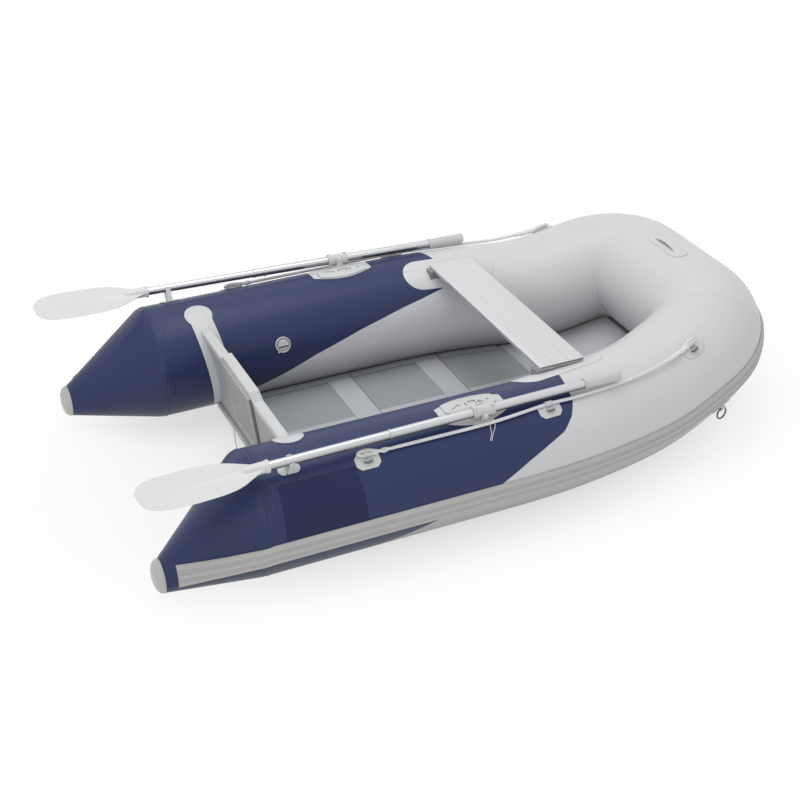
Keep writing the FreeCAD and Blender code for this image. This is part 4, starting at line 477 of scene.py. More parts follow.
# %% [markdown]
# Where two cloths meet, the navy one is glued over the grey one. That leaves a
# step of a millimetre and a thin dark line, so the comparison that picks the
# colour also feeds a bump and a narrow band of shade.

# %% The colour boundary and its seam
# How far forward the navy reaches, against the angle round the tube in degrees
BOUNDARY = [(-180, -0.27), (-160, -0.42), (-150, -0.50), (-140, -0.60), (-120, -0.80), (-60, -0.60),
            (-40, -0.40), (-18.6, -0.242), (-7.8, -0.136), (3.8, -0.055), (17.8, 0.030), (27.2, 0.098),
            (35.6, 0.163), (46.8, 0.200), (60.5, 0.223), (82, 0.232), (106, 0.247), (115, 0.250),
            (125.5, 0.243), (137.4, 0.225), (144.5, 0.143), (150.8, 0.057), (163.5, -0.102),
            (180, -0.27)]
LOW_X, SPAN_X = -0.9, 1.3
SEAM_HALF, SEAM_STEP = 0.0012, 0.0009


def two_tone(name):
    """Light grey cloth that is navy aft of the line in BOUNDARY."""
    material = finish(name, PALE, 0.40, grain=(700.0, 0.035), mottle=(3.0, 0.03), specular=0.3)
    tree = material.node_tree
    calc = partial(math_node, tree)
    x, angle = tube_angle(tree)
    curve = add_node(tree, "FloatCurve", Value=calc("MULTIPLY_ADD", angle, 0.5, 0.5))
    points = curve.mapping.curves[0].points
    spots = [((degrees + 180) / 360, (reach - LOW_X) / SPAN_X) for degrees, reach in BOUNDARY]
    # A new point is sorted in among the others, so the two ends are set first
    points[0].location, points[1].location = spots[0], spots[-1]
    for spot in spots[1:-1]:
        points.new(*spot)
    for point in points:
        point.handle_type = "VECTOR"
    curve.mapping.update()
    past = calc("SUBTRACT", x, calc("MULTIPLY_ADD", curve.outputs[0], SPAN_X, LOW_X))
    patches = tree.nodes["tint"].inputs["Factor"].links[0].from_socket
    navy = mix_colours(tree, "navy drift", patches, toned(NAVY, 0.93), toned(NAVY, 1.07))
    shade_over(material, "two tone", calc("LESS_THAN", past, 0.0), navy)
    shade_over(material, "seam shade", ramp(tree, calc("ABSOLUTE", past), 0.0008, 0.0022, 0.45, 0.0),
               toned(NAVY, 0.45))
    add_bump(material, ramp(tree, past, -SEAM_HALF, SEAM_HALF, 1.0, 0.0, "SMOOTHSTEP"), SEAM_STEP)
    add_creases(material, x)
    return material


print("boundary points", len(BOUNDARY))

# %% [markdown]
# The lower sides of the tubes get painted shade: faces that look downwards are
# darkened, the more the further their normal points down. With that, the boat's
# cloths can be made.

# %% The cloths


def shaded_below(material, high, low, amount, shade):
    """Paint shade on the faces that look downwards, darker the further their normal points down."""
    factor = ramp(material.node_tree, facing(material.node_tree)[2], high, low, 0.0, amount)
    shade_over(material, "shade below", factor, shade)
    return material


# Painted shade on the downward faces of the two-tone cloth and the pale cloth
tube_cloth = shaded_below(two_tone("two_tone_cloth"), -0.05, -0.75, 0.55, (0.035, 0.036, 0.045))
pale_cloth = finish("pale_cloth", PALE, 0.40, grain=(700.0, 0.035), mottle=(3.0, 0.03))
shaded_below(pale_cloth, -0.05, -0.75, 0.40, (0.10, 0.098, 0.095))
navy_cloth = finish("navy_cloth", (0.017, 0.024, 0.080), 0.42, grain=(700.0, 0.04), mottle=(3.0, 0.06),
                    specular=0.2)
navy_welt = finish("navy_welt", NAVY, 0.40, grain=(700.0, 0.04), mottle=(3.0, 0.06), specular=0.3)
print("cloths", [cloth.name for cloth in (tube_cloth, pale_cloth, navy_cloth, navy_welt)])

# %% [markdown]
# Moulded pieces, rubber and metal get a finish each: mostly a plain colour with
# a slight drift, and a grain at the scale of the real surface. Brushed metal
# stretches its noise along the brushing. Deep corners of the light mouldings
# get painted shade, which an ambient occlusion node finds, and the grooves of
# the strakes get painted shade too, whose place comes from an attribute that is
# filled below. The oars' tubes get painted shade and reflection on their lower
# side.

# %% Plastics, metals, rope and rubber
moulded = finish("moulded_plastic", (0.62, 0.63, 0.635), 0.42, grain=(900.0, 0.05))
# Painted shade in the deep corners of the light mouldings, found by ambient occlusion
crevice = add_node(moulded.node_tree, "AmbientOcclusion", Distance=0.005)
crevice.only_local = True
shade_over(moulded, "crevice shade", ramp(moulded.node_tree, crevice.outputs["AO"], 0.35, 0.95, 1.0, 0.0),
           (0.10, 0.102, 0.104))
cap_plastic = finish("cap_plastic", (0.52, 0.52, 0.505), 0.42, grain=(900.0, 0.03))
blade_plastic = finish("blade_plastic", (0.72, 0.72, 0.73), 0.36, grain=(350.0, 0.03))
grip_plastic = finish("grip_plastic", (0.60, 0.605, 0.61), 0.40, grain=(1200.0, 0.06))
# Painted shade for the slot beside the air valve's cap
dark_plastic = finish("dark_plastic", (0.10, 0.105, 0.11), 0.5)
hook_plastic = finish("hook_plastic", (0.27, 0.275, 0.28), 0.5, grain=(900.0, 0.04))
# Painted shade for the sunken floors of the anchors' dishes
painted_hollow_shade = finish("painted_hollow_shade", (0.20, 0.205, 0.21), 0.6, grain=(900.0, 0.04))
bright_tube = finish("bright_tube", (0.60, 0.61, 0.625), 0.28, metallic=0.85, grain=(900.0, 0.012),
                     stretch=(0.05, 1.0, 1.0))
# Painted shade and reflection: the oars' tubes darken on their lower side
shaded_below(bright_tube, 0.45, -0.45, 0.85, (0.13, 0.133, 0.142))
plank_metal = finish("plank_metal", (0.66, 0.665, 0.675), 0.40, metallic=0.55, grain=(700.0, 0.03),
                     mottle=(60.0, 0.05), stretch=(1.0, 0.02, 1.0))
ring_metal = finish("ring_metal", (0.16, 0.165, 0.17), 0.3, metallic=0.8, grain=(900.0, 0.02))
rope_fibre = finish("rope_fibre", (0.78, 0.785, 0.80), 0.75, grain=(300.0, 0.3), sheen=0.3)
strake_rubber = finish("strake_rubber", (0.50, 0.495, 0.485), 0.5, grain=(900.0, 0.05))
strake_level = strake_rubber.node_tree.nodes.new("ShaderNodeAttribute")
strake_level.attribute_name = "above"
# Painted shade in the strakes' grooves, where a point lies close to the tubes
shade_over(strake_rubber, "groove shade",
           ramp(strake_rubber.node_tree, strake_level.outputs["Fac"], 0.0045, 0.0075, 0.14, 0.0),
           (0.14, 0.135, 0.13))
print("finishes so far", len(bpy.data.materials))

# %% [markdown]
# The floor boards carry dark non-slip inlays on both sides of a pale strip, and
# a narrow dark gap shows where one board meets the next. All of it is flat, so
# the shader draws it, from the distance to the middle line and to the nearest
# gap. The transom and its trims are plain.

# %% The boards and the transom
JOINER = (0.51, 0.525, 0.55)


def inlaid(name, colour, pale, inner_edge, joints):
    """A board with dark non-slip inlays, a pale strip down its middle and dark joints."""
    material = finish(name, colour, 0.55, grain=(600.0, 0.08))
    tree = material.node_tree
    calc = partial(math_node, tree)
    x, y, _ = object_place(tree)
    strip = ramp(tree, calc("ABSOLUTE", y), inner_edge - 0.0006, inner_edge + 0.0006, 1.0, 0.0)
    shade_over(material, "inlay", strip, pale)
    nearest = 1.0
    for station in joints:
        nearest = calc("MINIMUM", nearest, calc("ABSOLUTE", calc("SUBTRACT", x, station)))
    shade_over(material, "joint gap", ramp(tree, nearest, 0.0015, 0.0030, 0.75, 0.0), (0.06, 0.062, 0.065))
    return material


board_face = inlaid("board_face", (0.335, 0.35, 0.37), JOINER, 0.075, (-0.1300, 0.2015, 0.5325))
bow_board_face = finish("bow_board_face", (0.58, 0.585, 0.605), 0.55, grain=(600.0, 0.08))
joiner_face = finish("joiner_face", JOINER, 0.5, grain=(600.0, 0.05))
transom_face = finish("transom_face", (0.40, 0.415, 0.425), 0.5, grain=(800.0, 0.05))
sill_trim = finish("sill_trim", (0.50, 0.52, 0.53), 0.45, grain=(900.0, 0.04))
transom_trim = finish("transom_trim", (0.62, 0.63, 0.635), 0.38, grain=(800.0, 0.02))
print("boards", [face.name for face in (board_face, bow_board_face, joiner_face, transom_face)])

# %% [markdown]
# The motor's clamp grips a rubber pad with level ribs. The CAD model has them,
# and only their painted shade is laid on here: a sine on the height draws it on
# every face but the pad's side edges, which get an even painted shade.

# %% The motor pad
RIB_PITCH = 0.0128
pad_rubber = finish("pad_rubber", (0.56, 0.555, 0.54), 0.6, grain=(800.0, 0.08))
pad_tree = pad_rubber.node_tree
calc = partial(math_node, pad_tree)
pad_wave = calc("SINE", calc("MULTIPLY", object_place(pad_tree)[2], 2 * math.pi / RIB_PITCH))
pad_side = calc("ABSOLUTE", facing(pad_tree)[1])
# Painted shade in the ribs' grooves, and an even painted shade on the side edges
pad_rib_shade = calc("MULTIPLY", ramp(pad_tree, pad_wave, 0.1, 0.4), ramp(pad_tree, pad_side, 0.5, 0.7, 0.85, 0.0))
shade_over(pad_rubber, "rib shade", calc("ADD", pad_rib_shade, ramp(pad_tree, pad_side, 0.5, 0.7, 0.0, 0.6)),
           (0.13, 0.13, 0.125))
print("the pad's ribs stand", 1000 * RIB_PITCH, "mm apart")

# %% [markdown]
# Every CAD node now gets its finish. The table gives a piece's name once, also
# where the boat has one on each side, and a helper finds the nodes of that name.

# %% A finish for every node
belly_cloth = finish("belly_cloth", (0.3, 0.31, 0.33), 0.6, grain=(500.0, 0.05))
FINISHES = {
    "side_tube": tube_cloth, "stern_cone": tube_cloth, "bow_tube": pale_cloth, "end_cap": cap_plastic,
    "strake": strake_rubber, "transom_flange": moulded, "seat_patch": pale_cloth, "seat_hook": hook_plastic,
    "rowlock_base": moulded, "rowlock_swivel": moulded, "rowlock_bolt": moulded, "oar_collar": moulded,
    "oar_shaft_fore": bright_tube, "oar_shaft_aft": bright_tube, "oar_grip": grip_plastic,
    "oar_blade": blade_plastic, "oar_clip": moulded, "rope_anchors": moulded, "lifeline": rope_fibre,
    "air_valve": moulded, "tow_patch": pale_cloth, "tow_ring": ring_metal, "floor_board_1": board_face,
    "floor_board_2": board_face, "floor_board_3": board_face, "floor_board_bow": bow_board_face,
    "floor_joiners": joiner_face, "floor_fabric": belly_cloth, "floor_rails": board_face,
    "transom_board": transom_face, "transom_top_cap": transom_trim, "motor_pad": pad_rubber,
    "transom_sill": sill_trim, "drain_plug": moulded, "seat_plank": plank_metal, "bow_handle": pale_cloth}


def nodes_of(name):
    """The node of that name, or the two of a piece that each side has."""
    return [name] if name in nodes else [name + "_" + side for side, _ in SIDES]


for name, material in FINISHES.items():
    for node in nodes_of(name):
        paint(nodes[node], material)
for string in (drain_string, lanyard):
    paint(string, rope_fibre)
print("finishes", len(bpy.data.materials))

# %% [markdown]
# A CAD edge is sharp, and a sharp edge never catches the light.
# Each small fitting is therefore copied, its loose triangles are merged, flat
# faces are joined with Limited Dissolve, and a Bevel modifier rounds every edge
# that turns by more than a set angle. The copy then stands for the CAD node.

# %% Rounded copies
ROUNDED = {
    "rowlock_base": 0.9, "rowlock_swivel": 1.2, "rowlock_bolt": 1.0, "oar_collar": 0.8, "oar_clip": 0.7,
    "rope_anchors": 0.6, "end_cap": 0.9, "oar_grip": 1.2, "transom_flange": 0.7, "seat_patch": 0.4,
    "seat_hook": 1.0, "tow_patch": 0.5, "strake": 0.8, "transom_top_cap": 0.9, "motor_pad": 0.6,
    "transom_sill": 1.0, "drain_plug": 0.8, "bow_handle": 0.8}
MERGE_WITHIN, FLAT_WITHIN = 0.00002, math.radians(1.0)
dressed = {}


def rounded_copy(node, millimetres, turn=24):
    """A copy of a CAD node with its edges rounded over, which stands for the node."""
    source = nodes[node]
    piece = bpy.data.objects.new(node + "_rounded", source.data.copy())
    scene.collection.objects.link(piece)
    only(piece)
    edit_all()
    bpy.ops.mesh.remove_doubles(threshold=MERGE_WITHIN)
    bpy.ops.mesh.dissolve_limited(angle_limit=FLAT_WITHIN)
    leave_edit()
    bevel(piece, millimetres / 1000, turn, segments=2, use_clamp_overlap=False, harden_normals=False)
    finish_shape(piece, node + "_rounded", smooth=50)
    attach(piece, source["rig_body"])
    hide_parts(node)
    dressed[node] = piece


for name, millimetres in ROUNDED.items():
    for node in nodes_of(name):
        rounded_copy(node, millimetres)
print("rounded", len(dressed), "pieces, faces", sum(len(piece.data.polygons) for piece in dressed.values()))

# %% [markdown]
# The strakes are ribbed, and their grooves get painted shade. Each point of a
# strake keeps how far it lies from the tubes' skin, as an attribute that the
# strake's finish reads.

# %% The grooves of the strakes
for side, _ in SIDES:
    skins = []
    for name in ("side_tube_" + side, "stern_cone_" + side, "bow_tube"):
        skin = nodes[name].data
        skins.append(BVHTree.FromPolygons([v.co for v in skin.vertices], [p.vertices for p in skin.polygons]))
    band = dressed["strake_" + side]
    level = band.data.attributes.new("above", "FLOAT", "POINT")
    above = [min(skin.find_nearest(v.co)[3] for skin in skins) for v in band.data.vertices]
    level.data.foreach_set("value", above)
    print(band.name, "lies at most", round(1000 * max(above), 1), "mm above the tubes")

# %% [markdown]
# Many small pieces are turned: the same outline all the way round. By hand one
# starts from a circle and extrudes its face again and again, scaling it in
# between. The helper does that down a list of radii and heights.

# %% A helper for turned pieces


def lathe(name, profile, sides=48):
    """Extrude a circle's face through a list of (radius, height) and keep it closed."""
    radius, height = profile[0]
    obj = new_shape(bpy.ops.mesh.primitive_circle_add, name, vertices=sides, radius=radius,
                    location=(0, 0, height), fill_type="NGON")
    apply_place()
    edit_all()
    for (before, low), (after, high) in zip(profile, profile[1:]):
        bpy.ops.mesh.extrude_region_move(TRANSFORM_OT_translate={"value": (0, 0, high - low)})
        bpy.ops.transform.resize(value=(after / before, after / before, 1), center_override=(0, 0, 0))
    bpy.ops.mesh.select_all(action="SELECT")
    bpy.ops.mesh.normals_make_consistent(inside=False)
    leave_edit()
    return obj


# %% [markdown]
# A fitting on a side tube has to stand square on a skin that is round, that
# closes in towards the bow and that rises there. The next helper works out its
# place: a point and the three directions along the tube, round it and out of
# its skin. The port side is computed, and a mirror gives the other one.

# %% Helpers for places on the tube
SHEER_START, SHEER_STATION, SHEER_RADIUS, SHEER_ANGLE = 0.481, 0.590, 0.700, math.radians(17.7)


def tube_seat(station, degrees, rise, side):
    """A matrix on a side tube: X along it, Y down its outer side, Z out of its skin."""
    climb = min(math.asin(max(station - SHEER_START, 0) / SHEER_RADIUS), SHEER_ANGLE)
    lift = SHEER_RADIUS * (1 - math.cos(climb))
    if climb == SHEER_ANGLE:
        lift = (station - SHEER_STATION) * math.tan(SHEER_ANGLE)
    bend = min(max(station - CLOSING_START, 0), CLOSING_END - CLOSING_START)
    turn = math.asin(bend / CLOSING_RADIUS)
    offset = (TUBE_OFFSET - CLOSING_RADIUS * (1 - math.cos(turn))
              - max(station - CLOSING_END, 0) * CLOSING_SLOPE)
    along = Vector((math.cos(turn) * math.cos(climb), -math.sin(turn) * math.cos(climb), math.sin(climb)))
    outboard = Vector((math.sin(turn), math.cos(turn), 0))
    upward = along.cross(outboard).normalized()
    angle = math.radians(degrees)
    normal = outboard * math.cos(angle) + upward * math.sin(angle)
    across = normal.cross(along)
    place = Matrix((along, across, normal)).transposed().to_4x4()
    place.translation = Vector((station, offset, TUBE_RADIUS + lift)) + normal * (TUBE_RADIUS + rise)
    return Matrix.Diagonal((1, side, 1, 1)) @ place


def put(obj, place, smooth=40):
    """Move a piece's mesh to its place, turn its faces outwards and shade it."""
    obj.data.transform(place)
    only(obj)
    edit_all()
    bpy.ops.mesh.normals_make_consistent(inside=False)
    return finish_shape(obj, obj.name, smooth)


def dress(obj, material, body, *stands_for):
    """Paint a finished piece, let it ride on a body and stand for CAD nodes."""
    paint(obj, material)
    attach(obj, body)
    if stands_for:
        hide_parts(*stands_for)
    return obj


def tell(obj):
    print(obj.name, "faces", len(obj.data.polygons), "size", [round(v, 3) for v in obj.dimensions])


# %% [markdown]
# The lifeline is a white braided rope, drawn tight along each tube, twisted
# where it is made fast aft and lumpy where it is spliced forward. Its path is
# read from a NURBS curve through the rope's own bends, which is smooth however
# few points it has.

# %% The rope's path
LIFELINE = [
    (-0.470, 0.5702, 0.3544), (-0.446, 0.5702, 0.3544), (-0.3819, 0.5705, 0.3543), (-0.2297, 0.5711, 0.3539),
    (-0.0775, 0.5717, 0.3536), (0.0278, 0.5658, 0.3569), (0.1157, 0.5586, 0.3598),
    (0.1375, 0.5568, 0.3601), (0.1595, 0.5563, 0.3598), (0.2364, 0.5554, 0.3569),
    (0.4163, 0.5355, 0.3536), (0.5184, 0.5147, 0.3556), (0.5888, 0.5006, 0.3655),
    (0.6365, 0.4881, 0.373), (0.6789, 0.4769, 0.3833), (0.7089, 0.4697, 0.3926)]
ROPE_RADIUS = 0.0052
ROPE_SIDES = 10
# Station on the tube and angle round it of each anchor
ANCHORS = [(-0.458, 60.0), (0.133, 63.5), (0.722, 59.7)]
TWIST_END, SPLICE_START, SPLICE_END = -0.370, 0.590, 0.706
TWIST_LAP, SPLICE_LAP = 0.012, 0.004
TWIST_LENGTH, TWIST_FADE, TWIST_PITCH = 0.096, 0.03, 0.060


def path_places(name, route, resolution=24):
    """The places along a smooth NURBS line, read from the curve as mesh vertices."""
    line = smooth_line(name, route)
    line.data.splines[0].resolution_u = resolution
    bpy.context.view_layer.update()
    mesh = bpy.data.meshes.new_from_object(line)
    places = [vertex.co.copy() for vertex in mesh.vertices]
    bpy.data.meshes.remove(mesh)
    bpy.data.objects.remove(line)
    return places


print("bends of the rope", len(LIFELINE), "radius", 1000 * ROPE_RADIUS, "mm")

# %% [markdown]
# A curve's bevel would give the same thickness everywhere and no map to lay a
# braid on. So rings of vertices follow the path instead. The radius may differ
# along the run and round the rope, the ring may circle the path, as a strand of
# a twist does, and a map is laid over the faces.

# %% Rings of vertices along a path


def rope_mesh(name, places, radius, orbit=None):
    """Rings of vertices along the places; radius and orbit are functions of the run."""
    mesh = bpy.data.meshes.new(name)
    shape = bmesh.new()
    wrap = shape.loops.layers.uv.new("wrap")
    run, rings, runs = 0.0, [], []
    up = Vector((0, 0, 1))
    for number, place in enumerate(places):
        ahead = (places[min(number + 1, len(places) - 1)] - places[max(number - 1, 0)]).normalized()
        if number:
            run += (place - places[number - 1]).length
        across = up.cross(ahead).normalized()
        raised = ahead.cross(across)
        middle = place.copy()
        if orbit:
            reach, turn = orbit(run)
            middle += (across * math.cos(turn) + raised * math.sin(turn)) * reach
        ring = []
        for step in range(ROPE_SIDES):
            angle = 2 * math.pi * step / ROPE_SIDES
            spoke = across * math.cos(angle) + raised * math.sin(angle)
            ring.append(shape.verts.new(middle + spoke * radius(run, angle)))
        rings.append(ring)
        runs.append(run)
    for number, (back, front) in enumerate(zip(rings, rings[1:])):
        for step in range(ROPE_SIDES):
            after = (step + 1) % ROPE_SIDES
            face = shape.faces.new((back[step], back[after], front[after], front[step]))
            face.smooth = True
            corners = ((step, number), (step + 1, number), (step + 1, number + 1), (step, number + 1))
            for loop, (turn, row) in zip(face.loops, corners):
                loop[wrap].uv = (turn / ROPE_SIDES, runs[row] / (2 * math.pi * ROPE_RADIUS))
    shape.faces.new(rings[0][::-1])
    shape.faces.new(rings[-1])
    bmesh.ops.recalc_face_normals(shape, faces=shape.faces)
    shape.to_mesh(mesh)
    shape.free()
    obj = bpy.data.objects.new(name, mesh)
    scene.collection.objects.link(obj)
    return obj


# %% [markdown]
# In a braid two sets of yarns wind round the rope in opposite directions. Two
# sines on the rope's own map, one for each way, are multiplied. The product
# rises and falls like the crossing yarns, and it gives both the relief and the
# shade between them.

# %% The braid


def braided(name):
    """Rope fibre whose relief is two sets of yarns crossing on the rope's own map."""
    material = finish(name, (0.93, 0.93, 0.94), 0.7, grain=(900.0, 0.15), sheen=0.3)
    tree = material.node_tree
    calc = partial(math_node, tree)
    wrap = tree.nodes.new("ShaderNodeUVMap")
    wrap.uv_map = "wrap"
    parts = split(tree, wrap.outputs["UV"])
    turns = calc("MULTIPLY", parts[0], 8 * math.pi)
    along = calc("MULTIPLY", parts[1], 8 * math.pi)
    left = calc("SINE", calc("ADD", turns, along))
    right = calc("SINE", calc("SUBTRACT", turns, along))
    yarns = calc("MULTIPLY", left, right)
    add_bump(material, yarns, 0.0012, 0.8)
    shade_over(material, "yarn shade", ramp(tree, yarns, -1.0, -0.2, 0.30, 0.0), (0.66, 0.67, 0.69))
    return material


braid = braided("braided_rope")
print("rope finish", braid.name)

# %% [markdown]
# Aft, the rope's end comes back round the anchor and is twisted with the rope.
# Forward, it is spliced: its strands are tucked under one another and raise
# ridges that wind round. Each stretch is a mesh of rings with its own radius,
# and the twist is two of them that circle each other. A small eye goes round
# the anchor at either end, and at last all of them are joined.

# %% The lifelines


# The rope starts thinner where it leaves the twist, and a splice is thicker and ridged
START_SHARE, START_RUN = 0.78, 0.012
SPLICE_FADE, SPLICE_SWELL, RIDGE_SWELL, RIDGE_RUN = 0.02, 0.46, 0.22, 0.0046
STRAND_SHARE, EYE_SHARE = 0.86, 0.95


def plain_radius(run, angle):
    return ROPE_RADIUS * (START_SHARE + (1 - START_SHARE) * min(1, run / START_RUN))


def splice_radius(run, angle):
    """Tucked strands: ridges that wind round, fading at both ends."""
    left = max(0.0, SPLICE_END - SPLICE_START + SPLICE_FADE / 2 - run)
    fade = min(1, run / SPLICE_FADE, left / SPLICE_FADE)
    return ROPE_RADIUS * (1 + fade * (SPLICE_SWELL + RIDGE_SWELL * math.sin(3 * angle + run / RIDGE_RUN)))


# An eye round an anchor's hoop: along the boat, down the tube's side and out of its skin
EYE = [(0.032, 0.001, 0.0070), (0.014, 0.0015, 0.0070), (-0.006, 0.0010, 0.0074), (-0.020, -0.001, 0.0082),
       (-0.026, -0.006, 0.0100), (-0.018, -0.010, 0.0128), (0.000, -0.0115, 0.0140), (0.018, -0.008, 0.0120),
       (0.034, -0.002, 0.0080)]


def even_radius(share):
    return lambda run, angle: ROPE_RADIUS * share


def twist_orbit(phase):
    """Two strands circle each other and come together where the twist ends."""
    def orbit(run):
        fade = min(1, max(0, (TWIST_LENGTH - run) / TWIST_FADE))
        return ROPE_RADIUS * (0.10 + 0.65 * fade), phase + 2 * math.pi * run / TWIST_PITCH
    return orbit


def joined(name, pieces):
    """Join several objects into one."""
    clear_selection()
    for piece in pieces:
        piece.select_set(True)
    bpy.context.view_layer.objects.active = pieces[0]
    bpy.ops.object.join()
    pieces[0].name = name
    pieces[0].data.name = name
    return pieces[0]


for side, sign in SIDES:
    route = [(x, sign * y, z) for x, y, z in LIFELINE]
    places = path_places("lifeline_path", route)
    aft = [place for place in places if place.x <= TWIST_END]
    middle = [place for place in places if TWIST_END - TWIST_LAP <= place.x <= SPLICE_START + SPLICE_LAP]
    fore = [place for place in places if place.x >= SPLICE_START]
    parts = [rope_mesh("rope_middle", middle, plain_radius), rope_mesh("rope_splice", fore, splice_radius)]
    for phase in (0.0, math.pi):
        parts.append(rope_mesh("rope_twist", aft, even_radius(STRAND_SHARE), twist_orbit(phase)))
    for (station, degrees), way in ((ANCHORS[0], 1), (ANCHORS[-1], -1)):
        seat = tube_seat(station, degrees, 0.0, sign)
        eye_route = [tuple(seat @ Vector((way * ahead, round_tube, out))) for ahead, round_tube, out in EYE]
        eye = path_places("rope_eye_path", eye_route, 8)
        parts.append(rope_mesh("rope_eye", eye, even_radius(EYE_SHARE)))
    tell(dress(joined("lifeline_rope_" + side, parts), braid, "hull", "lifeline_" + side))

# %% [markdown]
# The stowed oar lies along the tube and leans with its skin, so its blade is
# shaped lying flat and then put in place by the oar's own axes, turned a little
# about its length. The outline is a short list of half widths, and the spine is
# a ridge that is highest at the socket and fades towards the tip.

# %% The outline and the spine of a blade
OAR_PIVOT = Vector((-0.0775, 0.54653, 0.38803))
OAR_ALONG = Vector((0.99929, -0.0349, -0.01396))
OAR_UP = Vector((0.02504, 0.34123, 0.93965))
BLADE_OUTLINE = [
    (-0.675, 0.016), (-0.689, 0.0168), (-0.700, 0.021), (-0.715, 0.0295), (-0.740, 0.0468),
    (-0.765, 0.0632), (-0.790, 0.0748), (-0.830, 0.0832), (-0.881, 0.0867), (-0.930, 0.0878),
    (-0.979, 0.0848), (-1.009, 0.0765), (-1.028, 0.063), (-1.040, 0.045), (-1.047, 0.024)]
ROWS, COLUMNS = 44, 20
BLADE_START, BLADE_LENGTH, BLADE_TURN = -0.675, 0.372, math.radians(22)
SPINE_LENGTH, SPINE_HEIGHT, SHEET_HALF, SOCKET_AT = 0.290, 0.0135, 0.0014, -0.740
SPINE_SPREAD, SPINE_NARROWING, SPINE_POWER = 0.0135, 0.006, 1.15


def oar_place(side, turn):
    """Axes of the oar: X towards the grip, Z out of the tube, turned about its length."""
    across = OAR_UP.cross(OAR_ALONG).normalized()
    up = OAR_ALONG.cross(across).normalized()
    place = Matrix((OAR_ALONG.normalized(), across, up)).transposed().to_4x4()
    place.translation = OAR_PIVOT
    return Matrix.Diagonal((1, side, 1, 1)) @ place @ Matrix.Rotation(turn, 4, "X")


def half_width(reach):
    for (start, wide), (end, narrow) in zip(BLADE_OUTLINE, BLADE_OUTLINE[1:]):
        if reach >= end:
            return wide + (narrow - wide) * (start - reach) / (start - end)
    return BLADE_OUTLINE[-1][1]


def spine_height(reach, across):
    """Half the thickness of the blade at a place on it."""
    gone = min(1, (BLADE_START - reach) / SPINE_LENGTH)
    spread = SPINE_SPREAD - SPINE_NARROWING * gone
    return SHEET_HALF + SPINE_HEIGHT * (1 - gone) ** SPINE_POWER * math.exp(-(across / spread) ** 2)


print("blade", round(1000 * BLADE_LENGTH), "mm long,",
      round(2000 * max(half for _, half in BLADE_OUTLINE)), "mm wide")

# %% [markdown]
# An oar's blade is one plastic moulding: a thin sheet that grows out of a round
# socket with a thicker lip. A grid is the start, and it is extruded into a
# second sheet. The rows are spaced along the blade and drawn in to the outline,
# and each of the two sheets is raised off the middle by the height of the
# spine. One subdivision rounds it.

# %% The blades
# Radius and height, from inside the sheet to the socket's lip
SOCKET_PROFILE = [
    (0.0012, -0.0300), (0.0060, -0.0240), (0.0110, -0.0140), (0.0148, -0.0020), (0.0166, 0.0120),
    (0.0170, 0.0300), (0.0170, 0.0585), (0.0192, 0.0600),
    (0.0196, 0.0665), (0.0186, 0.0680), (0.0150, 0.0680), (0.0138, 0.0600)]
SOCKET_ROUNDING, ROW_POWER = 0.0006, 1.25


def blade(side, sign):
    sheet = new_shape(bpy.ops.mesh.primitive_grid_add, "oar_blade_sheet_" + side,
                      x_subdivisions=ROWS, y_subdivisions=COLUMNS, size=2)
    edit_all()
    bpy.ops.mesh.extrude_region_move(TRANSFORM_OT_translate={"value": (0, 0, 1)})
    mesh = bmesh.from_edit_mesh(sheet.data)
    for vertex in mesh.verts:
        done = (1 - vertex.co.x) / 2
        reach = BLADE_START - BLADE_LENGTH * (1 - (1 - done) ** ROW_POWER)
        across = vertex.co.y * half_width(reach)
        lift = spine_height(reach, across)
        vertex.co = (reach, across, lift if vertex.co.z > 0.5 else -lift)
    bmesh.update_edit_mesh(sheet.data)
    bpy.ops.mesh.select_all(action="SELECT")
    bpy.ops.mesh.normals_make_consistent(inside=False)
    leave_edit()
    modifier(sheet, "SUBSURF", levels=1, render_levels=1)
    socket = lathe("oar_socket_" + side, SOCKET_PROFILE)
    bevel(socket, SOCKET_ROUNDING, 25, segments=2)
    socket.data.transform(Matrix.Translation((SOCKET_AT, 0, 0)) @ Matrix.Rotation(math.pi / 2, 4, "Y"))
    moulding = joined("oar_blade_moulding_" + side, [sheet, socket])
    put(moulding, oar_place(sign, BLADE_TURN), 60)
    return dress(moulding, blade_plastic, "oar_" + side, "oar_blade_" + side)


for side, sign in SIDES:
    tell(blade(side, sign))

# %% [markdown]
# On each tube's aft side lies a large rectangle of a darker navy cloth. It
# starts as a cylinder a little wider than the tube. Faces outside the patch are
# deleted, the ends are drawn to the patch's slanted edges, and Solidify gives
# it its thickness.

# %% The dark panels
PANEL_TOP, PANEL_FOOT, PANEL_MIDDLE = 53, 3, -0.6
PANEL_GAP, PANEL_THICKNESS, PANEL_BLANK = 0.0004, 0.0008, 0.2
PANEL_CORNERS = {"aft": (-0.732, -0.737), "fore": (-0.4975, -0.489)}


